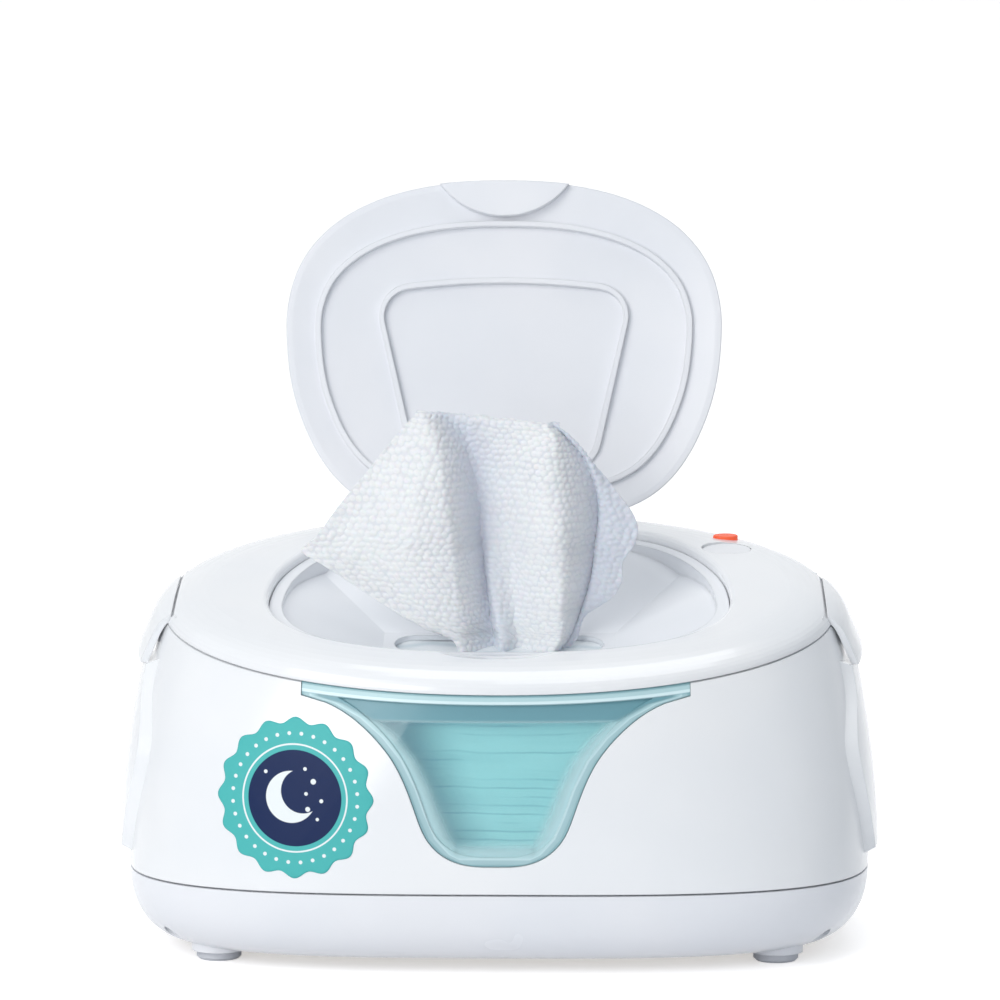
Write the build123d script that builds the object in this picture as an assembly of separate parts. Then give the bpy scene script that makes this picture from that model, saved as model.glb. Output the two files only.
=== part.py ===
from build123d import *
import math
import os

# A free-standing warmer and dispenser for wet wipes.  X runs left to right, the front faces -Y,
# and Z = 0 is the surface that the four rubber feet stand on.  Millimetres.

# ---------------------------------------------------------------- housing: driving sizes
OUTLINE_POINTS = 32            # points that each closed outline is drawn through
OUTLINE_START = -math.pi / 4   # each outline closes here, clear of the latches, window and hinges
BASE_SEAM_Z = 28.5             # level of the joint between pan and body
RIM_Z = 114.0                  # height of the cover joint over the middle of the body
DECK_TILT = 13.5               # the cover joint falls towards the front, in degrees

BASE_HALF_WIDTH = 127.0        # body outline at the base joint
WAIST_HALF_WIDTH = 124.6       # half way up
RIM_HALF_WIDTH = 116.0         # at the cover joint
BASE_HALF_DEPTH = 88.0
WAIST_HALF_DEPTH = 87.7
RIM_HALF_DEPTH = 85.8
BASE_SQUARENESS = 3.3          # exponent of the outline: 2 is an ellipse, more is squarer
WAIST_SQUARENESS = 2.75
RIM_SQUARENESS = 2.1
BODY_WALL = 2.6
SEAM_REVEAL = 0.6              # open line left between two shells

# ---------------------------------------------------------------- base pan and feet
PAN_BOTTOM_Z = 4.0
PAN_WALL = 2.5
PAN_SWEEP = 20.0               # how far the side draws in on its way to the underside
PAN_ROUNDNESS = 2.2
TONGUE_THICKNESS = 1.6         # upright lip of the pan inside the body wall
TONGUE_HEIGHT = 3.2
TONGUE_CLEARANCE = 0.5        # room between the lip and the body wall
TONGUE_NOTCH = 0.6            # room round each screw post, where the lip is cut away
FOOT_X = 94.0
FOOT_Y = 50.0
FOOT_RADIUS = 7.6
FOOT_HEIGHT = 4.6
FOOT_POCKET = 1.6              # depth of the pocket that holds a foot
FOOT_BOSS_WALL = 1.6
CORNER_SCREW_X = 109.0
CORNER_SCREW_Y = 53.5
POST_RADIUS = 4.2
POST_WEB = 2.0                 # plate that ties each post to the wall
POST_WEB_REACH = 12.0
SCREW_RADIUS = 1.5
SCREW_CLEARANCE = 0.25
SCREW_HEAD_RADIUS = 2.8
SCREW_HEAD_HEIGHT = 2.0
SCREW_SEAT_Z = 18.0
BOSS_TOP_Z = 44.0

# ---------------------------------------------------------------- window in the front
WINDOW_TOP_HALF = 64.4         # the flared top, just under the cover
WINDOW_BOTTOM_Z = 37.8
WINDOW_EAR_Z = 92.6            # lower edge of the ears beside the top
WINDOW_FLANK = [(6.0, 37.9), (11.5, 38.8), (17.9, 41.9), (22.6, 47.0), (26.0, 54.8), (29.2, 63.5),
                (33.8, 72.5), (40.0, 80.0), (47.5, 86.3), (56.0, 90.6)]
LENS_CLEARANCE = 0.2
LENS_SET_BACK = 0.8
LENS_RIM_WIDTH = 3.2
LENS_PANE_STEP = 1.0
LENS_FLANGE = 4.0
LENS_FLANGE_THICKNESS = 1.6
LENS_GLUE = 0.15               # glue line between the lens and the body wall

# ---------------------------------------------------------------- inner tub
TUB_INSET = 12.0               # tub wall behind the outside of the body
TUB_WALL = 2.0
TUB_FLOOR_Z = 33.0
TUB_FLANGE_INSET = 4.8
TUB_FLANGE_THICKNESS = 2.0
TUB_FLANGE_LEVEL = -4.0        # flange top, measured from the cover joint
LEDGE_INSET = 8.4
LEDGE_THICKNESS = 2.2
TUB_WINDOW_MARGIN = 5.0
TUB_PANE_THICKNESS = 1.6
TUB_PANE_LAP = 3.0
TUB_PANE_GLUE = 0.25           # glue line between the pane and the tub

# ---------------------------------------------------------------- side grip panels
PANEL_PROUD = 3.3
PANEL_BEVEL = 24.0             # slope of its edges, in degrees
PANEL_DRAFT_X = 114.0          # where the outline below is measured
PANEL_DRAFT_DEPTH = 20.0
PANEL_TOP_Z = 99.0
PANEL_BOTTOM_Z = 29.5
PANEL_HALF_TOP = 24.0
PANEL_HALF_UPPER = 31.0
PANEL_HALF_WAIST = 45.0
PANEL_HALF_BOTTOM = 42.0
PANEL_WAIST_Z = 64.0

# ---------------------------------------------------------------- heating and electronics
PLATE_LENGTH = 176.0
PLATE_DEPTH = 104.0
PLATE_THICKNESS = 1.5
FILM_THICKNESS = 0.6
FILM_MARGIN = 6.0
PAD_THICKNESS = 4.0
PLATE_CORNER = 18.0
THERMOSTAT_X = 34.0
SENSOR_Y = -20.0
THERMOSTAT_RADIUS = 8.0
THERMOSTAT_HEIGHT = 5.5
TERMINAL_X = 4.0
TERMINAL_LENGTH = 4.0
FUSE_X = -30.0
FUSE_RADIUS = 1.9
FUSE_LENGTH = 13.0
PAD_HOLE_CLEARANCE = 1.5
PAN_RIB_THICKNESS = 2.0
PAN_RIB_HALF_LENGTH = 80.0
PAN_RIB_Y = (-40.0, 0.0)
BOARD_X = -52.0
BOARD_Y = 36.0
BOARD_LENGTH = 74.0
BOARD_DEPTH = 44.0
BOARD_THICKNESS = 1.6
BOARD_Z = 12.0
BOARD_POST_RADIUS = 3.0
BOARD_SCREW_INSET = 4.5
BOARD_SCREW_RADIUS = 1.1
# components: place on the board, then size
BOARD_BLOCKS = [(-18.0, 4.0, 17.0, 12.0, 9.0), (6.0, -8.0, 14.0, 8.0, 2.0), (24.0, -3.0, 6.0, 16.0, 6.0)]
BOARD_CANS = [(2.0, 8.0, 4.0, 9.0), (13.0, 8.0, 3.0, 7.5)]
JACK_X = -40.0
JACK_Z = 17.0
JACK_NOSE_RADIUS = 4.6
JACK_BORE_RADIUS = 2.9
JACK_PIN_RADIUS = 1.0
JACK_BORE_DEPTH = 9.0
JACK_BLOCK = 13.0
JACK_BLOCK_DEPTH = 11.0
JACK_BLOCK_BACK_Y = 75.2
JACK_FACE_Y = 87.6
JACK_FIT = 0.08
LIGHT_X = 45.5
LIGHT_Z = 60.0
LIGHT_HEIGHT = 30.0
LIGHT_WIDTH = 7.0
LIGHT_THICKNESS = 1.2
LIGHT_SEAT = 0.35              # glue line behind each strip
LED_SIZE = 3.0
LED_HEIGHT = 1.4
LED_PITCH = 10.0

# ---------------------------------------------------------------- lid outline, in the plane of the cover
LID_HALF_WIDTH = 78.5
LID_WIDEST_Y = -8.5            # where the lid is widest
LID_FRONT = 54.5               # from there to the free edge
LID_REAR = 86.0                # half-length of the ellipse that shapes the hinge end
LID_CUT = 70.5                 # the ellipse stops here, along the hinge
LID_FRONT_SQUARENESS = 2.4
LID_CORNER = 9                 # larger is a tighter corner at the hinge end
LID_GAP = 0.8                  # open line round the closed lid
LID_EDGE_THICKNESS = 2.4
LID_WALL = 2.2
LID_DOME = 3.4
LID_OPEN_LEAN = 12.0           # the open lid leans this far past upright, in degrees
OUTER_RIB_INSET = 10.5
RIB_WIDTH = 2.0
OUTER_RIB_LEVEL = 4.6          # where the outer rib ends, closed, over the cover joint
INNER_RIB_LEVEL = 6.2
OUTER_RIB_FRONT = 4.0          # the outer rib keeps this much further from the thumb tab
INNER_RIB_FRONT = 35.0         # from the free edge to the inner rib
INNER_RIB_LENGTH = 70.0
INNER_RIB_FRONT_HALF = 47.5
INNER_RIB_REAR_HALF = 33.0
INNER_RIB_ARCH = 4.0
INNER_RIB_CORNER = 12.0
TAB_HALF_WIDTH = 23.5
TAB_DEPTH = 13.0
TAB_DROP = 2.6
TAB_SLOPE = 40.0
TAB_CLEARANCE = 0.7

# ---------------------------------------------------------------- cover
CROWN = 7.6                    # height of the deck over the cover joint
# height over the cover joint, and distance in from the outline
CROWN_PROFILE = [(0.3, 0.0), (1.4, 0.25), (2.5, 0.8), (3.5, 1.7), (4.4, 3.0), (5.2, 4.8), (5.9, 7.0),
                 (6.5, 9.7), (6.95, 12.6), (7.25, 15.5)]
CROWN_BLEND = [(7.42, 0.35), (7.54, 0.7)]   # then the outline passes over to that of the opening
CROWN_UNDERSIDE = [(4.9, 17.0), (4.2, 12.0), (2.6, 8.2)]
COVER_WALL = 2.5
COLLAR_WALL = 3.6              # upright wall round the lid's opening
COLLAR_LIP = 1.8               # rounding of the deck into the opening
TRAY_LIP_TOP = 4.6
TRAY_LIP_THICKNESS = 2.0
TRAY_LIP_CLEARANCE = 0.25
TRAY_SHELF = 2.4               # width of the shelf that carries the tray
SHELF_THICKNESS = 2.2
LOCATING_LIP_INSET = 3.0
LOCATING_LIP_THICKNESS = 1.6
LOCATING_LIP_LEVEL = -2.4
SEAL_INSET = 5.6
SEAL_WIDTH = 2.6
SEAL_RIB_LEVEL = -1.2
SEAL_REST_GAP = 0.3
SCOOP_HALF_WIDTH = 19.0
SCOOP_HALF_LENGTH = 8.0
SCOOP_DEPTH = 2.0

# ---------------------------------------------------------------- dispenser tray
TRAY_WALL = 2.0
TRAY_DEPTH = 13.5              # from the lip's top to the slot
TRAY_SPREAD_DEPTH = 3.1        # the slopes are measured at this depth
HOPPER_TOP_HALF = 72.0         # the four slopes of the dish reach out to here
HOPPER_BACK_Y = 50.0
HOPPER_FRONT_Y = -62.0
HOPPER_BOTTOM_HALF = 40.0
HOPPER_BOTTOM_BACK_Y = -3.5
HOPPER_BOTTOM_FRONT_Y = -24.5
SLOT_Y = -14.0
SLOT_HALF_LENGTH = 36.0
SLOT_HALF_WIDTH = 8.0

# ---------------------------------------------------------------- hinges
LID_HINGE_Y = 62.0
LID_PIN_RADIUS = 1.25
PIN_CLEARANCE = 0.05
LID_BARREL_RADIUS = 2.6
LID_BARREL_HALF = 33.0
LID_EAR_THICKNESS = 3.4
HINGE_SIDE_CLEARANCE = 0.3
COVER_HINGE_Y = 89.2
COVER_HINGE_LEVEL = -1.6
COVER_PIN_RADIUS = 1.25
COVER_BARREL_RADIUS = 2.6
COVER_KNUCKLE_X = 34.0
COVER_KNUCKLE_WIDTH = 9.0
COVER_EAR_THICKNESS = 3.6

# ---------------------------------------------------------------- side latches
LATCH_HALF_WIDTH = 19.5
LATCH_THICKNESS = 2.6
LATCH_PROFILE = [(4.7, 112.4), (3.2, 115.4), (0.0, 119.1), (-5.0, 121.9), (-10.0, 124.1), (-14.0, 125.6)]
LATCH_PIVOT_X = 109.4
LATCH_PIVOT_LEVEL = 1.6
LATCH_BARREL_RADIUS = 1.6
LATCH_BARREL_ROOM = 0.4
LATCH_PIN_RADIUS = 0.9
LATCH_ARM_LEVEL = 0.3
LATCH_ARM_THICKNESS = 2.0
LATCH_TOP_X = 112.3            # inner end of the plate's top edge
LATCH_TOP_GAP = 0.9            # and the open line between it and the cover
LATCH_SIDE_CLEARANCE = 0.6
LATCH_PIN_GRIP = 3.0
LATCH_NOSE_LEVEL = -9.5
LATCH_NOSE_HEIGHT = 2.4
LATCH_NOSE_CLEARANCE = 0.5

# ---------------------------------------------------------------- night-light button and indicator
BUTTON_X = 79.5
BUTTON_Y = 39.0
BUTTON_HALF_LENGTH = 8.6
BUTTON_HALF_WIDTH = 6.0
BUTTON_TOP = 6.9
BUTTON_EDGE = 0.5
BUTTON_CLEARANCE = 0.25
BUTTON_FLANGE = 1.2
BUTTON_FLANGE_TOP = 4.0
BUTTON_FLANGE_THICKNESS = 0.8
BUTTON_FLANGE_EDGE = 13.0      # the flange stays this far inside the cover's outline
BUTTON_FLANGE_ROOM = 0.45      # the flange is trimmed this far from the collar
BUTTON_DISH_DEPTH = 1.0
BUTTON_DISH_HALF_LENGTH = 12.0
BUTTON_DISH_HALF_WIDTH = 8.6
BUTTON_TRAVEL = 0.8
INDICATOR_Y = 51.0
INDICATOR_HALF_LENGTH = 4.4
INDICATOR_HALF_WIDTH = 2.2
INDICATOR_FOOT = 2.6
SWITCH_BOARD_LEVEL = -0.9
SWITCH_BOARD_THICKNESS = 1.2
SWITCH_BOARD_X = (73.8, 88.6)
SWITCH_BOARD_Y = (31.0, 57.0)
SWITCH_BOARD_EDGE = 9.2        # the board stays this far inside the cover's outline
SWITCH_POSTS = [(87.0, 32.4), (75.6, 47.6)]
SWITCH_POST_RADIUS = 1.4
SWITCH_SIZE = 6.0
SWITCH_HEIGHT = 1.7
PLUNGER_RADIUS = 1.6
PLUNGER_HEIGHT = 0.3
LED_DOME_HEIGHT = 1.4

# ---------------------------------------------------------------- wipes
STACK_HALF_LENGTH = 76.0
STACK_FRONT_Y = -64.0
STACK_BACK_Y = 58.0
STACK_HEIGHT = 45.0
STACK_CORNER = 18.0
WIPE_THICKNESS = 1.6
WIPE_WAVES = 2.6
WIPE_POINTS = 17
WIPE_TWIST = 25.0               # how fast the folds drift sideways with height
# level, left end, right end, swing of the folds, depth: it leans on the front lip of the slot
WIPE_SECTIONS = [(97.0, -15.0, 16.0, 1.1, -17.3), (101.0, -15.5, 19.0, 1.1, -17.4), (106.0, -20.0, 26.0, 3.0, -15.5),
                 (113.0, -36.0, 33.0, 6.0, -13.0), (123.0, -53.0, 40.5, 8.0, -12.0), (134.0, -67.0, 44.0, 9.0, -12.0),
                 (144.0, -62.0, 46.5, 9.0, -12.0), (158.0, -48.0, 40.0, 8.0, -12.0), (172.0, -38.0, 31.0, 7.0, -12.0),
                 (182.0, -29.0, 20.0, 5.0, -12.0)]

# ---------------------------------------------------------------- shared frames
TILT = math.radians(DECK_TILT)
DECK = Plane(origin=(0, 0, RIM_Z), x_dir=(1, 0, 0), z_dir=(0, -math.sin(TILT), math.cos(TILT)))
FRONT = Plane(origin=(0, 0, 0), x_dir=(1, 0, 0), z_dir=(0, -1, 0))
REACH = 400.0                  # larger than the whole object, for cutting blocks
RIM_LEVEL = SEAM_REVEAL / 2    # the two shells stand this far either side of the cover joint
SHELF_TOP = TRAY_LIP_TOP - TRAY_LIP_THICKNESS
LEDGE_TOP = TUB_FLANGE_LEVEL - TUB_FLANGE_THICKNESS
PAN_FLOOR_Z = PAN_BOTTOM_Z + PAN_WALL
PLATE_BOTTOM_Z = TUB_FLOOR_Z - PLATE_THICKNESS
FILM_BOTTOM_Z = PLATE_BOTTOM_Z - FILM_THICKNESS
PAD_BOTTOM_Z = FILM_BOTTOM_Z - PAD_THICKNESS
LID_HINGE_LEVEL = CROWN
LID_EDGE_LOW = CROWN - LID_EDGE_THICKNESS
LID_SWING = 90.0 + DECK_TILT + LID_OPEN_LEAN


# ---------------------------------------------------------------- outlines
def through_three(low, middle, high, share):
    """A smooth value that is low at 0, middle at one half and high at 1."""
    return (low * (1 - share) * (1 - 2 * share) + middle * 4 * share * (1 - share)
            + high * share * (2 * share - 1))


def squared_oval(half_x, half_y, exponent):
    points = []
    for step in range(OUTLINE_POINTS):
        angle = 2 * math.pi * step / OUTLINE_POINTS + OUTLINE_START
        c, s = math.cos(angle), math.sin(angle)
        reach = (abs(c) ** exponent + abs(s) ** exponent) ** (-1 / exponent)
        points.append((half_x * c * reach, half_y * s * reach))
    return points


def housing_sizes(share, inset):
    """Half width, half depth and squareness at a share of the way up the housing."""
    half_x = through_three(BASE_HALF_WIDTH, WAIST_HALF_WIDTH, RIM_HALF_WIDTH, share) - inset
    half_y = through_three(BASE_HALF_DEPTH, WAIST_HALF_DEPTH, RIM_HALF_DEPTH, share) - inset
    return half_x, half_y, through_three(BASE_SQUARENESS, WAIST_SQUARENESS, RIM_SQUARENESS, share)


def lid_outline(inset, front_inset=0.0):
    """Egg shape with a straight hinge end, drawn in the plane of the cover."""
    side = LID_HALF_WIDTH - inset
    front = LID_FRONT - inset - front_inset
    rear = LID_REAR - inset
    cut = (LID_CUT - inset) / rear
    points = []
    for step in range(OUTLINE_POINTS):
        angle = 2 * math.pi * step / OUTLINE_POINTS + OUTLINE_START
        c, s = math.cos(angle), math.sin(angle)
        if s < 0:
            power = LID_FRONT_SQUARENESS
            reach = (abs(c) ** power + abs(s) ** power) ** (-1 / power)
            points.append((side * c * reach, LID_WIDEST_Y + front * s * reach))
        else:
            reach = (1 + (s / cut) ** LID_CORNER) ** (-1 / LID_CORNER)
            points.append((side * c * reach, LID_WIDEST_Y + rear * s * reach))
    return points


def blended(start, end, share):
    """Outline part of the way from one to another."""
    return [(a[0] + share * (b[0] - a[0]), a[1] + share * (b[1] - a[1])) for a, b in zip(start, end)]


def housing_share(level):
    return (level - BASE_SEAM_Z) / (RIM_Z - BASE_SEAM_Z)


def housing_plane(share):
    tilt = TILT * share
    level = BASE_SEAM_Z + share * (RIM_Z - BASE_SEAM_Z)
    return Plane(origin=(0, 0, level), x_dir=(1, 0, 0), z_dir=(0, -math.sin(tilt), math.cos(tilt)))


# A ring is a closed outline with the plane that it lies in.
def housing_ring(share, inset):
    return squared_oval(*housing_sizes(share, inset)), housing_plane(share)


def level_ring(z, inset):
    """Housing outline in a level plane, for the bottom edges."""
    return squared_oval(*housing_sizes(max(housing_share(z), 0.0), inset)), Plane.XY.offset(z)


def rim_ring(level, inset):
    """Housing outline near the cover joint, in a plane parallel to that joint."""
    share = min(1.0, housing_share(RIM_Z + level))
    return squared_oval(*housing_sizes(share, inset)), DECK.offset(level)


def lid_ring(level, inset, front_inset=0.0):
    return lid_outline(inset, front_inset), DECK.offset(level)


def closed_wire(ring):
    points, plane = ring
    places = [plane.from_local_coords(Vector(x, y, 0)) for x, y in points]
    even = [step / OUTLINE_POINTS for step in range(OUTLINE_POINTS + 1)]
    return Wire([Edge.make_spline(places, periodic=True, parameters=even)])


# ---------------------------------------------------------------- solids from rings
def wrapped(runs, caps=()):
    """Solid bounded by skins, each through a run of rings, with flat faces at any caps."""
    faces = []
    for run in runs:
        wires = [closed_wire(ring) for ring in run]
        level = (run[0][1].origin - run[-1][1].origin).length < 1e-6
        if level:
            wires.sort(key=lambda wire: wire.bounding_box().size.X)
            faces.append(Face(wires[-1], wires[:1]))
        else:
            faces.extend(Shell.make_loft(wires).faces())
    faces.extend(Face(closed_wire(ring)) for ring in caps)
    return Part() + Solid(Shell(faces))


def bands(rings):
    """Runs that join each ring straight to the next."""
    return [[start, end] for start, end in zip(rings, rings[1:])]


def stacked(rings):
    """Solid with one smooth skin through its rings."""
    return wrapped([rings], (rings[0], rings[-1]))


def slab(points, low, high):
    """Straight-sided solid between two levels over the cover joint."""
    return stacked([(points, DECK.offset(low)), (points, DECK.offset(high))])


def rim_slab(inset, low, high):
    return slab(squared_oval(*housing_sizes(1.0, inset)), low, high)


def housing_form(inset, low=0.0, high=1.0):
    return stacked([housing_ring(low + (high - low) * step / 4, inset) for step in range(5)])


def pan_rings(inset, bottom):
    """Bowl that sweeps from the base joint in to the underside."""
    rings = []
    for share in (0.0, 0.35, 0.6, 0.8, 0.93, 1.0):
        draw = PAN_SWEEP * (1 - (1 - share ** PAN_ROUNDNESS) ** (1 / PAN_ROUNDNESS))
        top = BASE_SEAM_Z - RIM_LEVEL
        rings.append((squared_oval(*housing_sizes(0.0, inset + draw)), Plane.XY.offset(top - (top - bottom) * share)))
    return rings


def deck_block(low, high, x=(-REACH, REACH), y=(-REACH, REACH)):
    """Block in the frame of the cover."""
    middle = ((x[0] + x[1]) / 2, (y[0] + y[1]) / 2, (low + high) / 2)
    return DECK * Pos(*middle) * Box(x[1] - x[0], y[1] - y[0], high - low)


def block(x, y, z):
    middle = ((x[0] + x[1]) / 2, (y[0] + y[1]) / 2, (z[0] + z[1]) / 2)
    return Pos(*middle) * Box(x[1] - x[0], y[1] - y[0], z[1] - z[0])


def upright(x, y, radius, low, high):
    return Pos(x, y, (low + high) / 2) * Cylinder(radius, high - low)


def across(y, level, radius, x_low, x_high):
    """Cylinder along X, placed in the frame of the cover."""
    return DECK * Pos((x_low + x_high) / 2, y, level) * Rot(0, 90, 0) * Cylinder(radius, x_high - x_low)


def along(x, level, radius, y_low, y_high):
    """Cylinder along the depth, placed in the frame of the cover."""
    return DECK * Pos(x, (y_low + y_high) / 2, level) * Rot(90, 0, 0) * Cylinder(radius, y_high - y_low)


def on_deck(x, y, radius, low, high):
    return DECK * Pos(x, y, (low + high) / 2) * Cylinder(radius, high - low)


def raised(face, low, high):
    """Flat outline raised between two levels over the cover joint."""
    return Part() + extrude(DECK * Pos(0, 0, low) * face, amount=high - low, dir=DECK.z_dir)


def spindle(x, y, half_x, half_y, depth):
    """Shallow scoop with curved ends, sunk into the deck."""
    radius = half_y ** 2 / (2 * depth)
    half = half_x * math.sqrt(radius / depth)
    arc = ThreePointArc((-half, 0), (0, radius), (half, 0))
    turned = revolve(Face(Wire([arc, Line(arc @ 1, arc @ 0)])), Axis.X)
    return DECK * Pos(x, y, CROWN - depth + radius) * turned


def four_corners(x, y):
    return [(sx * x, sy * y) for sx in (-1, 1) for sy in (-1, 1)]


def both_sides(side, low, high):
    """A span of X on the chosen side, in rising order."""
    return tuple(sorted((side * low, side * high)))


def window_prism(grow):
    """Bell-shaped opening with an ear at each side of its top, swept back through the front wall."""
    flank = [(0.0, WINDOW_BOTTOM_Z)] + WINDOW_FLANK
    moved = []
    for index, (x, z) in enumerate(flank):
        before = flank[index - 1] if index else (-flank[1][0], flank[1][1])
        after = flank[index + 1] if index + 1 < len(flank) else (2 * x - before[0], 2 * z - before[1])
        along_x, along_z = after[0] - before[0], after[1] - before[1]
        length = math.hypot(along_x, along_z)
        moved.append((x + grow * along_z / length, z - grow * along_x / length))
    place = lambda x, z: FRONT.from_local_coords(Vector(x, z, 0))
    bell = Spline(*[place(x, z) for x, z in [(-x, z) for x, z in reversed(moved[1:])] + moved])
    ear_x, ear_z = WINDOW_TOP_HALF + 0.8 * grow, WINDOW_EAR_Z - grow
    sides = Polyline(bell @ 1, place(ear_x, ear_z), place(ear_x, RIM_Z), place(-ear_x, RIM_Z),
                     place(-ear_x, ear_z), bell @ 0)
    face = Face(Wire([bell, *sides.edges()]))
    return Part() + extrude(face, amount=REACH / 2, dir=(0, -1, 0))


# ---------------------------------------------------------------- housing pieces
def make_base_pan():
    rim = BASE_SEAM_Z - RIM_LEVEL
    tongue_top = BASE_SEAM_Z + TONGUE_HEIGHT
    tongue_out = BODY_WALL + TONGUE_CLEARANCE
    tongue_in = tongue_out + TONGUE_THICKNESS
    outer = pan_rings(0.0, PAN_BOTTOM_Z)
    inner = pan_rings(tongue_in, PAN_FLOOR_Z)
    flat = lambda z, inset: (squared_oval(*housing_sizes(0.0, inset)), Plane.XY.offset(z))
    pan = wrapped([outer, [outer[0], flat(rim, tongue_out)], [flat(rim, tongue_out), flat(tongue_top, tongue_out)],
                   [flat(tongue_top, tongue_out), flat(tongue_top, tongue_in)],
                   [flat(tongue_top, tongue_in), inner[0]], inner], (outer[-1], inner[-1]))
    for y in PAN_RIB_Y:
        half = PAN_RIB_HALF_LENGTH
        edge = PAN_RIB_THICKNESS / 2
        pan += block((-half, half), (y - edge, y + edge), (PAN_FLOOR_Z - 1, PAD_BOTTOM_Z))
    solid_pan = stacked(pan_rings(PAN_WALL / 2, PAN_BOTTOM_Z))
    room = POST_RADIUS + TONGUE_NOTCH
    for x, y in four_corners(CORNER_SCREW_X, CORNER_SCREW_Y):
        notch_x = sorted((x - math.copysign(room, x), x + math.copysign(POST_WEB_REACH, x)))
        pan -= block(notch_x, (y - room, y + room), (BASE_SEAM_Z, RIM_Z))
        pan += upright(x, y, POST_RADIUS, PAN_BOTTOM_Z, BASE_SEAM_Z) & solid_pan
        pan -= upright(x, y, SCREW_RADIUS + SCREW_CLEARANCE, 0, REACH)
        pan -= upright(x, y, SCREW_HEAD_RADIUS + SCREW_CLEARANCE, 0, SCREW_SEAT_Z)
    for x, y in four_corners(FOOT_X, FOOT_Y):
        pan += upright(x, y, FOOT_RADIUS + FOOT_BOSS_WALL, FOOT_HEIGHT - FOOT_POCKET, PAN_FLOOR_Z + 2)
        pan -= upright(x, y, FOOT_RADIUS + 0.05, 0, FOOT_HEIGHT)
    for x, y in board_corners():
        pan += upright(x, y, BOARD_POST_RADIUS, PAN_FLOOR_Z - 1, BOARD_Z)
        pan -= upright(x, y, BOARD_SCREW_RADIUS, PAN_FLOOR_Z + 0.5, BOARD_Z)
    half = JACK_BLOCK / 2
    saddle_y = (JACK_BLOCK_BACK_Y - JACK_BLOCK_DEPTH, JACK_BLOCK_BACK_Y)
    pan += block((JACK_X - half, JACK_X + half), saddle_y, (PAN_FLOOR_Z - 1, JACK_Z - half))
    pan -= jack_cylinder(JACK_NOSE_RADIUS + JACK_FIT, JACK_BLOCK_BACK_Y, REACH / 2)
    return pan


def make_rubber_feet():
    feet = Part()
    for x, y in four_corners(FOOT_X, FOOT_Y):
        foot = upright(x, y, FOOT_RADIUS, 0, FOOT_HEIGHT)
        feet += chamfer(foot.faces().sort_by(Axis.Z)[0].edges(), 0.9)
    return feet


def make_base_screws():
    screws = Part()
    for x, y in four_corners(CORNER_SCREW_X, CORNER_SCREW_Y):
        head_low = SCREW_SEAT_Z - SCREW_HEAD_HEIGHT
        screw = upright(x, y, SCREW_RADIUS, SCREW_SEAT_Z - 0.1, BOSS_TOP_Z - 6.0)
        screw += upright(x, y, SCREW_HEAD_RADIUS, head_low, SCREW_SEAT_Z)
        screw -= Pos(x, y, head_low) * Box(0.8, 3.6, 1.8)
        screw -= Pos(x, y, head_low) * Box(3.6, 0.8, 1.8)
        screws += screw
    return screws


def make_body_shell():
    top, bottom = -RIM_LEVEL, BASE_SEAM_Z + RIM_LEVEL
    ledge_low = LEDGE_TOP - LEDGE_THICKNESS
    wall = BODY_WALL
    outer = [level_ring(bottom, 0.0)] + [housing_ring(share, 0.0) for share in (0.25, 0.5, 0.75)] + [rim_ring(top, 0.0)]
    lower = [rim_ring(ledge_low, wall)] + [housing_ring(share, wall) for share in (0.7, 0.47, 0.24)]
    lower.append(level_ring(bottom, wall))
    body = wrapped([outer, [outer[-1], rim_ring(top, wall)], [rim_ring(top, wall), rim_ring(LEDGE_TOP, wall)],
                    [rim_ring(LEDGE_TOP, wall), rim_ring(LEDGE_TOP, LEDGE_INSET)],
                    [rim_ring(LEDGE_TOP, LEDGE_INSET), rim_ring(ledge_low, LEDGE_INSET)],
                    [rim_ring(ledge_low, LEDGE_INSET), lower[0]], lower, [lower[-1], outer[0]]])
    inside = housing_form(wall / 2)
    panel = side_panel()
    body += panel + mirror(panel, Plane.YZ)
    for x, y in four_corners(CORNER_SCREW_X, CORNER_SCREW_Y):
        post = upright(x, y, POST_RADIUS, bottom, BOSS_TOP_Z)
        out = math.copysign(POST_WEB_REACH, x)
        post += block(sorted((x, x + out)), (y - POST_WEB / 2, y + POST_WEB / 2), (bottom, BOSS_TOP_Z))
        body += post & inside
        body -= upright(x, y, SCREW_RADIUS, 0, BOSS_TOP_Z - 4.0)
    bridge = housing_form(wall + LENS_FLANGE_THICKNESS + 0.3, -0.05, 1.05)
    body -= window_prism(0.0) - bridge
    body -= (window_prism(LENS_FLANGE + 0.4) & housing_form(wall, 0.0, 1.04)) - bridge
    inner = COVER_KNUCKLE_X - COVER_KNUCKLE_WIDTH / 2 - HINGE_SIDE_CLEARANCE
    outer_x = COVER_KNUCKLE_X + COVER_KNUCKLE_WIDTH / 2 + HINGE_SIDE_CLEARANCE
    for side in (-1, 1):
        for low in (inner - COVER_EAR_THICKNESS, outer_x):
            body += body_hinge_ear(both_sides(side, low, low + COVER_EAR_THICKNESS))
    body -= across(COVER_HINGE_Y, COVER_HINGE_LEVEL, COVER_PIN_RADIUS, -REACH / 4, REACH / 4)
    return body


def body_hinge_ear(x):
    """Upright ear at the rear edge, with a sloping foot that runs into the wall."""
    y, level, radius = COVER_HINGE_Y, COVER_HINGE_LEVEL, COVER_BARREL_RADIUS
    start = (RIM_HALF_DEPTH - 7.0, -RIM_LEVEL - 0.3)
    side_view = Plane(origin=DECK.from_local_coords(Vector(x[0], 0, 0)), x_dir=DECK.y_dir, z_dir=(1, 0, 0))
    web = Polyline(start, (y, -RIM_LEVEL - 0.3), (y + radius, level), (start[0], level - 14.0), close=True)
    foot = extrude(side_view * make_face(web), amount=x[1] - x[0], dir=(1, 0, 0))
    ear = across(y, level, radius, *x) + foot
    return ear - housing_form(BODY_WALL / 2)


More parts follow.
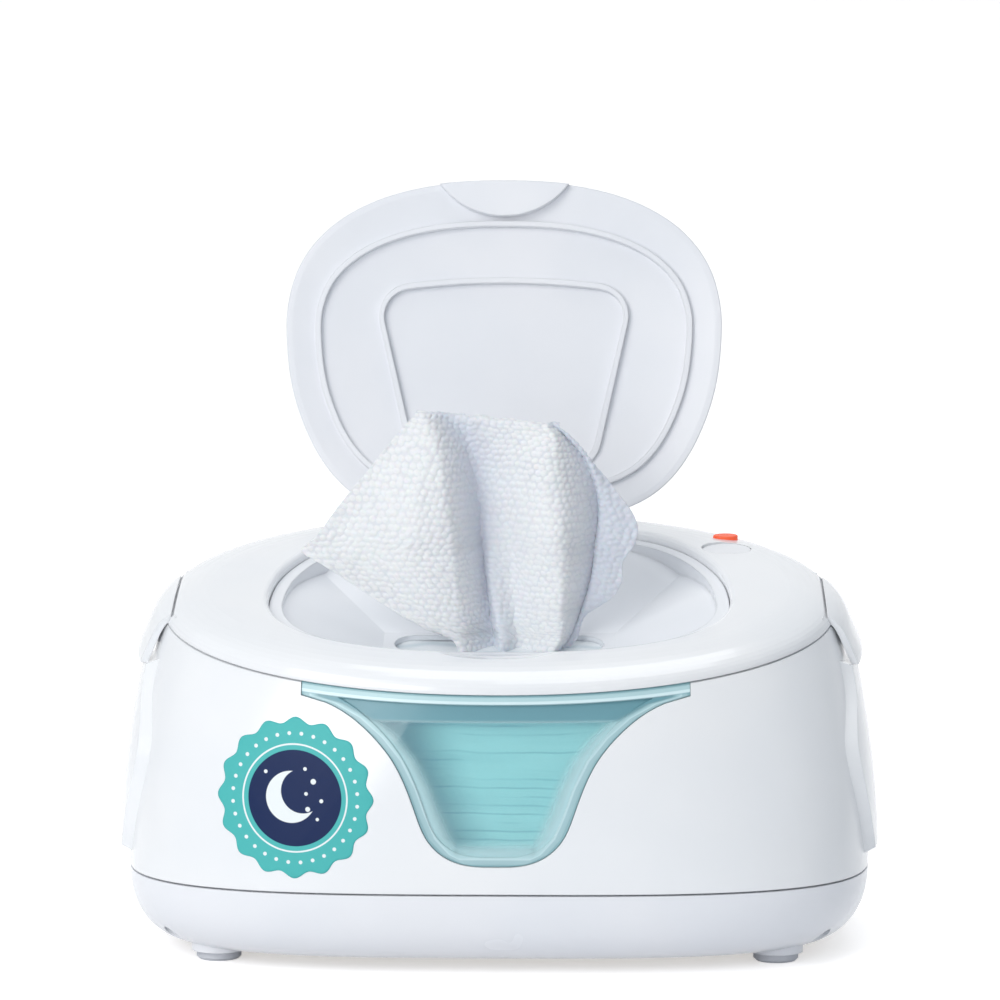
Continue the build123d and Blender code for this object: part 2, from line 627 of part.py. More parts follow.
def side_panel():
    """Raised grip panel with sloping edges, on the left."""
    outlines = []
    for out in (0.0, PANEL_DRAFT_DEPTH):
        draw = out * math.tan(math.radians(PANEL_BEVEL))
        flank = [(PANEL_HALF_TOP, PANEL_TOP_Z - draw), (PANEL_HALF_UPPER, PANEL_TOP_Z - 14.0),
                 (PANEL_HALF_WAIST - 3.0, PANEL_WAIST_Z + 8.0), (PANEL_HALF_WAIST, PANEL_WAIST_Z - 12.0),
                 (PANEL_HALF_BOTTOM, PANEL_BOTTOM_Z + draw)]
        x = -PANEL_DRAFT_X - out
        front = Spline(*[(x, draw - y, z) for y, z in flank])
        rear = Spline(*[(x, y - draw, z) for y, z in flank])
        outlines.append(Wire([front, rear, Line(front @ 0, rear @ 0), Line(front @ 1, rear @ 1)]))
    prism = Part() + Solid.make_loft(outlines, ruled=True)
    shares = (0.0, 0.25, 0.5, 0.75, 0.9)
    belt = [housing_ring(share, -PANEL_PROUD) for share in shares]
    under = [housing_ring(share, BODY_WALL / 2) for share in shares]
    return prism & wrapped([belt, under, [belt[0], under[0]], [belt[-1], under[-1]]])


def make_window_lens():
    behind = BODY_WALL + LENS_FLANGE_THICKNESS
    body_side = housing_form(BODY_WALL + LENS_GLUE, 0.0, 1.04)
    flange_top = TUB_FLANGE_LEVEL + 0.6
    lens = (housing_form(LENS_SET_BACK, 0.0, 1.0) & window_prism(-LENS_CLEARANCE))
    lens += (body_side & window_prism(LENS_FLANGE)) - deck_block(flange_top, REACH)
    lens -= housing_form(behind, -0.05, 1.05)
    lens -= body_side & deck_block(flange_top, REACH)
    pocket = window_prism(-LENS_RIM_WIDTH) - housing_form(LENS_SET_BACK + LENS_PANE_STEP, -0.05, 1.05)
    lens -= pocket - deck_block(-LENS_RIM_WIDTH, REACH)
    return lens - deck_block(-RIM_LEVEL, REACH)


def make_wipe_tub():
    floor_top = TUB_FLOOR_Z + TUB_WALL
    inner_inset = TUB_INSET + TUB_WALL
    outer = [level_ring(TUB_FLOOR_Z, TUB_INSET)] + [housing_ring(share, TUB_INSET) for share in (0.3, 0.5, 0.7)]
    outer.append(rim_ring(LEDGE_TOP, TUB_INSET))
    inner = [rim_ring(TUB_FLANGE_LEVEL, inner_inset)] + [housing_ring(share, inner_inset) for share in (0.7, 0.5, 0.3)]
    inner.append(level_ring(floor_top, inner_inset))
    low = rim_ring(LEDGE_TOP, TUB_FLANGE_INSET)
    high = rim_ring(TUB_FLANGE_LEVEL, TUB_FLANGE_INSET)
    tub = wrapped([outer, [outer[-1], low], [low, high], [high, inner[0]], inner], (outer[0], inner[-1]))
    return tub - (window_prism(-TUB_WINDOW_MARGIN) - deck_block(LEDGE_TOP - 4.0, REACH))


def make_tub_window():
    back = TUB_INSET - TUB_PANE_GLUE
    pane = housing_form(back - TUB_PANE_THICKNESS) - housing_form(back, -0.05, 1.05)
    pane = pane & window_prism(-TUB_WINDOW_MARGIN + TUB_PANE_LAP)
    return pane - deck_block(LEDGE_TOP - LEDGE_THICKNESS - 0.3, REACH)


def rounded_plate(length, depth, low, high, middle_y=0.0, corner=PLATE_CORNER):
    sheet = Pos(0, middle_y, low) * RectangleRounded(length, depth, corner)
    return Part() + extrude(sheet, amount=high - low)


def make_heater_plate():
    return rounded_plate(PLATE_LENGTH, PLATE_DEPTH, PLATE_BOTTOM_Z, TUB_FLOOR_Z)


def make_heating_element():
    length, depth = PLATE_LENGTH - 2 * FILM_MARGIN, PLATE_DEPTH - 2 * FILM_MARGIN
    return rounded_plate(length, depth, FILM_BOTTOM_Z, PLATE_BOTTOM_Z)


def make_insulation_pad():
    pad = rounded_plate(PLATE_LENGTH, PLATE_DEPTH, PAD_BOTTOM_Z, FILM_BOTTOM_Z)
    pad -= upright(THERMOSTAT_X, SENSOR_Y, THERMOSTAT_RADIUS + PAD_HOLE_CLEARANCE, 0, REACH)
    room_x = FUSE_LENGTH / 2 + PAD_HOLE_CLEARANCE
    room_y = FUSE_RADIUS + PAD_HOLE_CLEARANCE
    return pad - block((FUSE_X - room_x, FUSE_X + room_x), (SENSOR_Y - room_y, SENSOR_Y + room_y), (0, REACH))


def make_thermostat():
    low = FILM_BOTTOM_Z - THERMOSTAT_HEIGHT
    can = upright(THERMOSTAT_X, SENSOR_Y, THERMOSTAT_RADIUS, low, FILM_BOTTOM_Z)
    for side in (-1, 1):
        x = THERMOSTAT_X + side * TERMINAL_X
        can += block((x - 2.0, x + 2.0), (SENSOR_Y - 0.4, SENSOR_Y + 0.4), (low - TERMINAL_LENGTH, low))
    return can


def make_thermal_fuse():
    body = Pos(FUSE_X, SENSOR_Y, FILM_BOTTOM_Z - FUSE_RADIUS) * Rot(0, 90, 0) * Cylinder(FUSE_RADIUS, FUSE_LENGTH)
    return chamfer(body.edges(), 0.4)


def board_corners():
    half_x = BOARD_LENGTH / 2 - BOARD_SCREW_INSET
    half_y = BOARD_DEPTH / 2 - BOARD_SCREW_INSET
    return [(BOARD_X + x, BOARD_Y + y) for x, y in four_corners(half_x, half_y)]


def make_control_board():
    top = BOARD_Z + BOARD_THICKNESS
    half_x, half_y = BOARD_LENGTH / 2, BOARD_DEPTH / 2
    board = block((BOARD_X - half_x, BOARD_X + half_x), (BOARD_Y - half_y, BOARD_Y + half_y), (BOARD_Z, top))
    for x, y in board_corners():
        board -= upright(x, y, BOARD_SCREW_RADIUS + SCREW_CLEARANCE, 0, REACH)
    for x, y, length, depth, height in BOARD_BLOCKS:
        board += Pos(BOARD_X + x, BOARD_Y + y, top + height / 2) * Box(length, depth, height)
    for x, y, radius, height in BOARD_CANS:
        board += upright(BOARD_X + x, BOARD_Y + y, radius, top, top + height)
    return board


def make_board_screws():
    screws = Part()
    top = BOARD_Z + BOARD_THICKNESS
    for x, y in board_corners():
        screws += upright(x, y, BOARD_SCREW_RADIUS, PAN_FLOOR_Z + 0.5, top + 0.1)
        screws += upright(x, y, 2 * BOARD_SCREW_RADIUS, top, top + 1.4)
    return screws


def jack_cylinder(radius, y_low, y_high):
    return Pos(JACK_X, (y_low + y_high) / 2, JACK_Z) * Rot(90, 0, 0) * Cylinder(radius, y_high - y_low)


def make_dc_jack():
    back, half = JACK_BLOCK_BACK_Y, JACK_BLOCK / 2
    jack = jack_cylinder(JACK_NOSE_RADIUS, back - 1.0, JACK_FACE_Y)
    jack += block((JACK_X - half, JACK_X + half), (back - JACK_BLOCK_DEPTH, back), (JACK_Z - half, JACK_Z + half))
    jack -= jack_cylinder(JACK_BORE_RADIUS, JACK_FACE_Y - JACK_BORE_DEPTH, JACK_FACE_Y + 1)
    jack += jack_cylinder(JACK_PIN_RADIUS, JACK_FACE_Y - JACK_BORE_DEPTH - 1, JACK_FACE_Y - 1.0)
    return jack


def tub_front(x, z):
    """Depth and turn of the tub's front wall at a place."""
    half_x, half_y, power = housing_sizes(housing_share(z), TUB_INSET)
    depth = lambda at: -half_y * (1 - (at / half_x) ** power) ** (1 / power)
    return depth(x), math.degrees(math.atan2(depth(x + 0.5) - depth(x - 0.5), 1.0))


def make_night_lights():
    """Two strips of small lamps that light the window from its sides."""
    lights = Part()
    half = LIGHT_HEIGHT / 2
    turn = tub_front(LIGHT_X, LIGHT_Z)[1]
    y = min(tub_front(LIGHT_X, LIGHT_Z - half)[0], tub_front(LIGHT_X, LIGHT_Z + half)[0])
    for side in (-1, 1):
        strip = Pos(0, -LIGHT_THICKNESS / 2, 0) * Box(LIGHT_WIDTH, LIGHT_THICKNESS, LIGHT_HEIGHT)
        for step in (-1, 0, 1):
            strip += Pos(0, -LIGHT_THICKNESS - LED_HEIGHT / 2, step * LED_PITCH) * Box(LED_SIZE, LED_HEIGHT, LED_SIZE)
        lights += Pos(side * LIGHT_X, y - LIGHT_SEAT, LIGHT_Z) * Rot(0, 0, side * turn) * strip
    return lights


def make_wipe_stack():
    low = TUB_FLOOR_Z + TUB_WALL
    depth = STACK_BACK_Y - STACK_FRONT_Y
    middle = (STACK_BACK_Y + STACK_FRONT_Y) / 2
    return rounded_plate(2 * STACK_HALF_LENGTH, depth, low, low + STACK_HEIGHT, middle, STACK_CORNER)


def make_cover_hinge_pins():
    pins = Part()
    half = COVER_KNUCKLE_WIDTH / 2 + HINGE_SIDE_CLEARANCE + COVER_EAR_THICKNESS
    for side in (-1, 1):
        x = side * COVER_KNUCKLE_X
        pins += across(COVER_HINGE_Y, COVER_HINGE_LEVEL, COVER_PIN_RADIUS, x - half, x + half)
    return pins


# ---------------------------------------------------------------- cover pieces
def make_top_cover():
    gap, lip = LID_GAP, COLLAR_LIP
    seal_end = SEAL_INSET + SEAL_WIDTH
    lip_end = LOCATING_LIP_INSET + LOCATING_LIP_THICKNESS
    dome = [rim_ring_flat(level, inset) for level, inset in CROWN_PROFILE]
    start, end = dome[-1][0], lid_outline(-gap - lip)
    for level, share in CROWN_BLEND + [(CROWN, 1.0)]:
        dome.append((blended(start, end, share), DECK.offset(level)))
    rounding = []
    for degrees in (0, 30, 60, 90):
        angle = math.radians(degrees)
        rounding.append(lid_ring(CROWN - lip + lip * math.cos(angle), -gap - lip + lip * math.sin(angle)))
    shelf_low = SHELF_TOP - SHELF_THICKNESS
    shelf_in = TRAY_SHELF - gap
    under = [lid_ring(CROWN - COVER_WALL, -gap - COLLAR_WALL)]
    under += [rim_ring_flat(level, inset) for level, inset in CROWN_UNDERSIDE]
    cover = wrapped(bands(dome) + bands(rounding) + bands(under) + [
        [rounding[-1], lid_ring(SHELF_TOP, -gap)],
        [lid_ring(SHELF_TOP, -gap), lid_ring(SHELF_TOP, shelf_in)],
        [lid_ring(SHELF_TOP, shelf_in), lid_ring(shelf_low, shelf_in)],
        [lid_ring(shelf_low, shelf_in), lid_ring(shelf_low, -gap - COLLAR_WALL)],
        [lid_ring(shelf_low, -gap - COLLAR_WALL), under[0]],
        [under[-1], rim_ring_flat(SEAL_RIB_LEVEL, seal_end)],
        [rim_ring_flat(SEAL_RIB_LEVEL, seal_end), rim_ring_flat(SEAL_RIB_LEVEL, lip_end)],
        [rim_ring_flat(SEAL_RIB_LEVEL, lip_end), rim_ring_flat(LOCATING_LIP_LEVEL, lip_end)],
        [rim_ring_flat(LOCATING_LIP_LEVEL, lip_end), rim_ring_flat(LOCATING_LIP_LEVEL, LOCATING_LIP_INSET)],
        [rim_ring_flat(LOCATING_LIP_LEVEL, LOCATING_LIP_INSET), rim_ring_flat(RIM_LEVEL, LOCATING_LIP_INSET)],
        [rim_ring_flat(RIM_LEVEL, LOCATING_LIP_INSET), dome[0]],
    ])
    scoop = spindle(0, LID_WIDEST_Y - LID_FRONT - gap, SCOOP_HALF_WIDTH, SCOOP_HALF_LENGTH, SCOOP_DEPTH)
    cover += lid_ears() + hinge_knuckles() + latch_bosses() + switch_posts()
    return cover - ([tab_pocket(), scoop] + lid_hinge_cuts() + latch_cuts() + button_cuts())


def rim_ring_flat(level, inset):
    return squared_oval(*housing_sizes(1.0, inset)), DECK.offset(level)


def crescent(grow):
    """Thumb tab: a chord of the lid's front edge closed by an arc."""
    front = LID_WIDEST_Y - LID_FRONT
    half = TAB_HALF_WIDTH + grow
    arc = ThreePointArc((-half, front + 1.0), (0, front + TAB_DEPTH + grow), (half, front + 1.0))
    close = Polyline(arc @ 1, (half, front - 3.0), (-half, front - 3.0), arc @ 0)
    return Face(Wire([*arc.edges(), *close.edges()]))


def tab_pocket():
    low = LID_EDGE_LOW - TAB_DROP - TAB_CLEARANCE
    return raised(crescent(TAB_CLEARANCE), low, 2 * CROWN) & slab(lid_outline(-LID_GAP), 0, 3 * CROWN)


def lid_ears():
    inner = LID_BARREL_HALF + HINGE_SIDE_CLEARANCE
    outer = inner + LID_EAR_THICKNESS
    y, level = LID_HINGE_Y, LID_HINGE_LEVEL
    ears = []
    for side in (-1, 1):
        x = both_sides(side, inner, outer)
        web = deck_block(TRAY_LIP_TOP + 0.2, level, x, (y - 2.0, y + 4.0))
        ears.append(across(y, level, LID_BARREL_RADIUS, *x) + web - across(y, level, LID_PIN_RADIUS, *x))
    return ears


def lid_hinge_cuts():
    """Room for the lid's barrel, and the pin's holes."""
    inner = LID_BARREL_HALF + HINGE_SIDE_CLEARANCE
    outer = inner + LID_EAR_THICKNESS
    room = LID_BARREL_RADIUS + 0.5
    y, level = LID_HINGE_Y, LID_HINGE_LEVEL
    return [deck_block(TRAY_LIP_TOP + 0.1, 2 * CROWN, (-inner, inner), (y - room, y + room)),
            across(y, level, LID_PIN_RADIUS, -outer, outer)]


def hinge_knuckles():
    y, level = COVER_HINGE_Y, COVER_HINGE_LEVEL
    knuckles = []
    for side in (-1, 1):
        low = COVER_KNUCKLE_X - COVER_KNUCKLE_WIDTH / 2
        x = both_sides(side, low, low + COVER_KNUCKLE_WIDTH)
        arm = deck_block(RIM_LEVEL, 2.4, x, (RIM_HALF_DEPTH - 6.0, y + 0.6))
        knuckles.append(across(y, level, COVER_BARREL_RADIUS, *x) + arm
                        - across(y, level, COVER_PIN_RADIUS + PIN_CLEARANCE, *x))
    return knuckles


def latch_bosses():
    """Blocks that hold the ends of the latch pins."""
    half = LATCH_HALF_WIDTH + LATCH_SIDE_CLEARANCE
    bosses = []
    for side in (-1, 1):
        x = both_sides(side, LATCH_PIVOT_X - 2.6, LATCH_PIVOT_X + 1.4)
        for end in (-1, 1):
            y = both_sides(end, half, half + LATCH_PIN_GRIP)
            bosses.append(deck_block(RIM_LEVEL + 0.1, LATCH_PIVOT_LEVEL + 2.4, x, y))
    return bosses


def latch_cuts():
    half = LATCH_HALF_WIDTH + LATCH_SIDE_CLEARANCE
    grip = half + LATCH_PIN_GRIP
    room = LATCH_BARREL_RADIUS + LATCH_BARREL_ROOM
    cuts = []
    for side in (-1, 1):
        bay_x = both_sides(side, LATCH_PIVOT_X - room, REACH / 3)
        edge_x = both_sides(side, LATCH_TOP_X - LATCH_TOP_GAP, REACH / 3)
        cuts.append(deck_block(-0.2, LATCH_PIVOT_LEVEL + room, bay_x, (-half, half)))
        cuts.append(deck_block(-0.2, REACH / 10, edge_x, (-half, half)))
        cuts.append(along(side * LATCH_PIVOT_X, LATCH_PIVOT_LEVEL, LATCH_PIN_RADIUS, -grip, grip))
    return cuts


def oval(x, y, half_x, half_y, low, high):
    return raised(Pos(x, y) * Ellipse(half_x, half_y), low, high)


def button_cuts():
    grow = BUTTON_CLEARANCE
    return [spindle(BUTTON_X, BUTTON_Y, BUTTON_DISH_HALF_LENGTH, BUTTON_DISH_HALF_WIDTH, BUTTON_DISH_DEPTH),
            oval(BUTTON_X, BUTTON_Y, BUTTON_HALF_LENGTH + grow, BUTTON_HALF_WIDTH + grow, 0, 2 * CROWN),
            oval(BUTTON_X, INDICATOR_Y, INDICATOR_HALF_LENGTH, INDICATOR_HALF_WIDTH, 0, 2 * CROWN)]


def switch_posts():
    low = SWITCH_BOARD_LEVEL + SWITCH_BOARD_THICKNESS
    return [on_deck(x, y, SWITCH_POST_RADIUS, low, CROWN - COVER_WALL + 0.8) for x, y in SWITCH_POSTS]


def make_switch_board():
    low = SWITCH_BOARD_LEVEL
    top = low + SWITCH_BOARD_THICKNESS
    board = deck_block(low, top, SWITCH_BOARD_X, SWITCH_BOARD_Y) & rim_slab(SWITCH_BOARD_EDGE, -CROWN, CROWN)
    half = SWITCH_SIZE / 2
    board += deck_block(top, top + SWITCH_HEIGHT, (BUTTON_X - half, BUTTON_X + half), (BUTTON_Y - half, BUTTON_Y + half))
    board += on_deck(BUTTON_X, BUTTON_Y, PLUNGER_RADIUS, top + SWITCH_HEIGHT, top + SWITCH_HEIGHT + PLUNGER_HEIGHT)
    board += on_deck(BUTTON_X, INDICATOR_Y, 1.5, top, top + LED_DOME_HEIGHT)
    return board


def make_light_button():
    low = BUTTON_FLANGE_TOP - BUTTON_FLANGE_THICKNESS
    cap = oval(BUTTON_X, BUTTON_Y, BUTTON_HALF_LENGTH, BUTTON_HALF_WIDTH, low, BUTTON_TOP)
    cap = fillet(top_edges(cap), BUTTON_EDGE)
    wide, deep = BUTTON_HALF_LENGTH + BUTTON_FLANGE, BUTTON_HALF_WIDTH + BUTTON_FLANGE
    flange = oval(BUTTON_X, BUTTON_Y, wide, deep, low, BUTTON_FLANGE_TOP)
    flange &= rim_slab(BUTTON_FLANGE_EDGE, 0, CROWN)
    flange -= slab(lid_outline(-LID_GAP - COLLAR_WALL - BUTTON_FLANGE_ROOM), 0, CROWN)
    return cap + flange


def top_edges(solid):
    """Edges of the face that lies highest over the cover joint."""
    height = lambda face: (face.center() - DECK.origin).dot(DECK.z_dir)
    return max(solid.faces(), key=height).edges()


def make_indicator_lens():
    lens = oval(BUTTON_X, INDICATOR_Y, INDICATOR_HALF_LENGTH, INDICATOR_HALF_WIDTH, INDICATOR_FOOT, CROWN + 0.4)
    return fillet(top_edges(lens), 0.5)


def make_cover_seal():
    low, high = TUB_FLANGE_LEVEL + SEAL_REST_GAP, SEAL_RIB_LEVEL
    out, inn = SEAL_INSET, SEAL_INSET + SEAL_WIDTH
    return wrapped([[rim_ring_flat(low, out), rim_ring_flat(high, out)], [rim_ring_flat(high, out), rim_ring_flat(high, inn)],
                    [rim_ring_flat(high, inn), rim_ring_flat(low, inn)], [rim_ring_flat(low, inn), rim_ring_flat(low, out)]])


def hopper(grow):
    """The four flat slopes of the dish, as one tapering solid; grown, it gives the tray's underside."""
    floor = TRAY_LIP_TOP - TRAY_DEPTH - grow
    upper = TRAY_LIP_TOP - TRAY_SPREAD_DEPTH - grow
    rise = upper - floor
    extra = (REACH / 20) / rise
    corners = []
    for level, share in ((floor, 0.0), (floor + rise * (1 + extra), 1 + extra)):
        half = HOPPER_BOTTOM_HALF + (HOPPER_TOP_HALF - HOPPER_BOTTOM_HALF) * share + grow / 2
        back = HOPPER_BOTTOM_BACK_Y + (HOPPER_BACK_Y - HOPPER_BOTTOM_BACK_Y) * share + grow / 2
        front = HOPPER_BOTTOM_FRONT_Y + (HOPPER_FRONT_Y - HOPPER_BOTTOM_FRONT_Y) * share - grow / 2
        places = [DECK.from_local_coords(Vector(x, y, level)) for x, y in
                  ((-half, front), (half, front), (half, back), (-half, back))]
        corners.append(Wire.make_polygon(places))
    return Part() + Solid.make_loft(corners, ruled=True)


def make_dispenser_tray():
    inset = TRAY_SHELF - LID_GAP + TRAY_LIP_CLEARANCE
    below = TRAY_LIP_TOP - TRAY_DEPTH - 2 * TRAY_WALL
    tray = slab(lid_outline(inset), below, TRAY_LIP_TOP) & hopper(TRAY_WALL)
    tray += slab(lid_outline(-LID_GAP + TRAY_LIP_CLEARANCE), SHELF_TOP, TRAY_LIP_TOP)
    tray -= slab(lid_outline(inset + TRAY_WALL), below, 2 * CROWN) & hopper(0.0)
    tray -= raised(Pos(0, SLOT_Y) * SlotOverall(2 * SLOT_HALF_LENGTH, 2 * SLOT_HALF_WIDTH), below - 1, CROWN)
    return tray - tab_pocket()


def make_latch_pins():
    pins = Part()
    grip = LATCH_HALF_WIDTH + LATCH_SIDE_CLEARANCE + LATCH_PIN_GRIP
    for side in (-1, 1):
        pins += along(side * LATCH_PIVOT_X, LATCH_PIVOT_LEVEL, LATCH_PIN_RADIUS, -grip, grip)
    return pins


def make_lid_hinge_pin():
    half = LID_BARREL_HALF + HINGE_SIDE_CLEARANCE + LID_EAR_THICKNESS
    return across(LID_HINGE_Y, LID_HINGE_LEVEL, LID_PIN_RADIUS, -half, half)


def make_pulled_wipe():
    """Thin sheet, standing in folds, that widens and narrows again on its way up."""
    wires = []
    for level, left, right, swing, depth in WIPE_SECTIONS:
        places = []
        for step in range(WIPE_POINTS):
            share = step / (WIPE_POINTS - 1)
            wave = swing * math.sin(2 * math.pi * WIPE_WAVES * share + level / WIPE_TWIST)
            places.append((left + (right - left) * share, depth + wave, level))
        even = [step / (WIPE_POINTS - 1) for step in range(WIPE_POINTS)]
        wires.append(Wire([Edge.make_spline([Vector(*place) for place in places], parameters=even)]))
    sheet = Shell.make_loft(wires).faces()[0]
    return Part() + extrude(sheet, amount=WIPE_THICKNESS, dir=(0, 1, 0))


# ---------------------------------------------------------------- moving pieces
def latch_form(inset):
    ratio = RIM_HALF_DEPTH / RIM_HALF_WIDTH
    rings = []
    for level, half_x in LATCH_PROFILE:
        points = squared_oval(half_x - inset, (half_x - inset) * ratio, RIM_SQUARENESS)
        rings.append((points, DECK.offset(level)))
    return stacked(rings)


def make_latch_left():
    side, half = -1, LATCH_HALF_WIDTH
    pivot = side * LATCH_PIVOT_X
    level = LATCH_PIVOT_LEVEL
    strip = deck_block(-REACH / 4, REACH / 4, both_sides(side, 90.0, REACH), (-half, half))
    solid = latch_form(0.0) & strip
    latch = solid - latch_form(LATCH_THICKNESS)
    arm_low, arm_high = LATCH_ARM_LEVEL, LATCH_ARM_LEVEL + LATCH_ARM_THICKNESS
    latch -= deck_block(arm_high, REACH / 4, both_sides(side, 0, LATCH_TOP_X), (-REACH, REACH))
    latch += solid & deck_block(arm_low, arm_high, both_sides(side, LATCH_PIVOT_X, REACH), (-half, half))
    latch += along(pivot, level, LATCH_BARREL_RADIUS, -half, half)
    latch -= along(pivot, level, LATCH_PIN_RADIUS + PIN_CLEARANCE, -half, half)
    nose = solid & deck_block(LATCH_NOSE_LEVEL, LATCH_NOSE_LEVEL + LATCH_NOSE_HEIGHT, y=(-half / 2, half / 2))
    return latch + (nose - housing_form(-LATCH_NOSE_CLEARANCE, 0.5, 1.05))


def dome_level(inset):
    """Height of the lid's outside, closed, at a distance in from its edge."""
    share = min(1.0, max(0.0, (inset - 2.0) / 46.0))
    return CROWN + LID_DOME * math.sin(share * math.pi / 2)


def make_flip_lid():
    low, high = LID_EDGE_LOW, CROWN
    edge = [lid_ring(low, 0.0), lid_ring(low + 0.5 * (high - low), 0.0), lid_ring(low + 0.85 * (high - low), 0.6),
            lid_ring(high, 2.0)]
    dome = [lid_ring(dome_level(inset), inset) for inset in (2.0, 14.0, 28.0, 42.0)]
    inner = [lid_ring(low, LID_WALL)]
    inner += [lid_ring(dome_level(inset) - LID_WALL, inset) for inset in (8.0, 20.0, 32.0, 42.0)]
    lid = wrapped([edge, dome, [edge[0], inner[0]], inner], (dome[-1], inner[-1]))
    out, inn, front = OUTER_RIB_INSET, OUTER_RIB_INSET + RIB_WIDTH, OUTER_RIB_FRONT
    top = OUTER_RIB_LEVEL + 2.8
    base = OUTER_RIB_LEVEL
    lid += wrapped([[lid_ring(base, out, front), lid_ring(top, out, front)], [lid_ring(top, out, front), lid_ring(top, inn, front)],
                    [lid_ring(top, inn, front), lid_ring(base, inn, front)], [lid_ring(base, inn, front), lid_ring(base, out, front)]])
    lid += raised(inner_rib_face(0.0) - inner_rib_face(RIB_WIDTH), INNER_RIB_LEVEL, dome_level(42.0) - LID_WALL + 0.4)
    tab = raised(crescent(0.0), LID_EDGE_LOW - TAB_DROP, LID_EDGE_LOW + 1.2)
    lid += tab & slab(lid_outline(0.0), 0, 2 * CROWN)
    return swing_lid(fit_lid_barrel(lid))


def inner_rib_face(inset):
    """Rounded tapering frame with an arched front."""
    front = LID_WIDEST_Y - LID_FRONT + INNER_RIB_FRONT + inset
    rear = front + INNER_RIB_LENGTH - 2 * inset
    wide = INNER_RIB_FRONT_HALF - inset
    narrow = INNER_RIB_REAR_HALF - inset
    arc = ThreePointArc((-wide, front + INNER_RIB_ARCH), (0, front), (wide, front + INNER_RIB_ARCH))
    sides = Polyline(arc @ 1, (narrow, rear), (-narrow, rear), arc @ 0)
    face = Face(Wire([*arc.edges(), *sides.edges()]))
    return fillet(face.vertices(), INNER_RIB_CORNER - inset)


def fit_lid_barrel(lid):
    inner = LID_BARREL_HALF
    outer = inner + 2 * HINGE_SIDE_CLEARANCE + LID_EAR_THICKNESS
    y, level = LID_HINGE_Y, LID_HINGE_LEVEL
    for side in (-1, 1):
        lid -= deck_block(0, REACH / 4, both_sides(side, inner, outer), (y - LID_BARREL_RADIUS - 0.8, REACH / 2))
    lid += across(y, level, LID_BARREL_RADIUS, -inner, inner)
    return lid - across(y, level, LID_PIN_RADIUS + PIN_CLEARANCE, -inner - 1, inner + 1)


def swing_lid(lid):
    """Turns the closed lid about its hinge to the open position that the part is stored in."""
    hinge = DECK.from_local_coords(Vector(0, LID_HINGE_Y, LID_HINGE_LEVEL))
    return lid.rotate(Axis(hinge, (1, 0, 0)), -LID_SWING)


PIECES = {
    "base_pan": make_base_pan,
    "rubber_feet": make_rubber_feet,
    "base_screws": make_base_screws,
    "body_shell": make_body_shell,
    "window_lens": make_window_lens,
    "wipe_tub": make_wipe_tub,
    "tub_window": make_tub_window,
    "heater_plate": make_heater_plate,
    "heating_element": make_heating_element,
    "insulation_pad": make_insulation_pad,
    "thermostat": make_thermostat,
    "thermal_fuse": make_thermal_fuse,
    "control_board": make_control_board,
    "board_screws": make_board_screws,
    "dc_jack": make_dc_jack,
    "night_lights": make_night_lights,
    "wipe_stack": make_wipe_stack,
    "cover_hinge_pins": make_cover_hinge_pins,
    "top_cover": make_top_cover,
    "dispenser_tray": make_dispenser_tray,
    "cover_seal": make_cover_seal,
    "switch_board": make_switch_board,
    "indicator_lens": make_indicator_lens,
    "latch_pins": make_latch_pins,
    "lid_hinge_pin": make_lid_hinge_pin,
    "pulled_wipe": make_pulled_wipe,
    "flip_lid": make_flip_lid,
    "latch_left": make_latch_left,
    "latch_right": lambda: mirror(make_latch_left(), Plane.YZ),
    "light_button": make_light_button,
}

os.makedirs("parts", exist_ok=True)
for name, make in PIECES.items():
    export_step(make(), os.path.join("parts", name + ".step"))
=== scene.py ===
# %% [markdown]
# A warmer and dispenser for wet wipes, dressed for a product picture. Every rigid part comes from
# the packed CAD model, and this script gives it a finish, adds the soft pieces, and sets up the
# floor, the lamps and the camera. Read it cell by cell: each step says what the real thing is,
# how it could be made in Blender, and why it is made this way here.

# %% Load the CAD model
import math
import random

import bpy
from mathutils import Euler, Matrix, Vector, noise
from mathutils.bvhtree import BVHTree


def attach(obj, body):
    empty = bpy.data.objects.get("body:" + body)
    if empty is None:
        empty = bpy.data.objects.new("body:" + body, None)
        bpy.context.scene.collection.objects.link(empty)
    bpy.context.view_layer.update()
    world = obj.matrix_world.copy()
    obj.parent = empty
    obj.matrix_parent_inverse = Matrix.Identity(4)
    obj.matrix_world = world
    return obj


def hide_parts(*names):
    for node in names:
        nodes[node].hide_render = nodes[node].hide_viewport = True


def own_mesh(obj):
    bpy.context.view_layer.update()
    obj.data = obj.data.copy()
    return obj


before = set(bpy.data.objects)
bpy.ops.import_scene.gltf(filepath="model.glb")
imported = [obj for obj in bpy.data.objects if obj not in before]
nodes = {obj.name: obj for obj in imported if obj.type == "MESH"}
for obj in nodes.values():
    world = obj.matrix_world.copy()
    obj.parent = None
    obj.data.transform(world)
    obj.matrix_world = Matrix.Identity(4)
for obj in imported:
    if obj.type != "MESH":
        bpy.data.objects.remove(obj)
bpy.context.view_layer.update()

# %% [markdown]
# Sizes come first. The cover of the warmer slopes towards the front, and its hinge, dish and
# slot are all measured in that sloping frame, so one function turns a place on the slope into a
# place in the scene. Everything is in metres.

# %% Sizes and the sloping frame of the cover
MM = 0.001
TILT = math.radians(13.5)
RIM_Z = 0.114


def on_cover(x, y, height):
    """Place in the scene of a point given on the sloping joint of the cover."""
    return Vector((x, y * math.cos(TILT) - height * math.sin(TILT),
                   RIM_Z + y * math.sin(TILT) + height * math.cos(TILT)))


def painted(red, green, blue):
    """A colour as a screen shows it, turned into the linear values that Blender works in."""
    def linear(level):
        share = level / 255
        return share / 12.92 if share <= 0.04045 else ((share + 0.055) / 1.055) ** 2.4
    return (linear(red), linear(green), linear(blue), 1.0)


print("slot lip at", tuple(round(v, 4) for v in on_cover(0, -0.022, -0.009)))

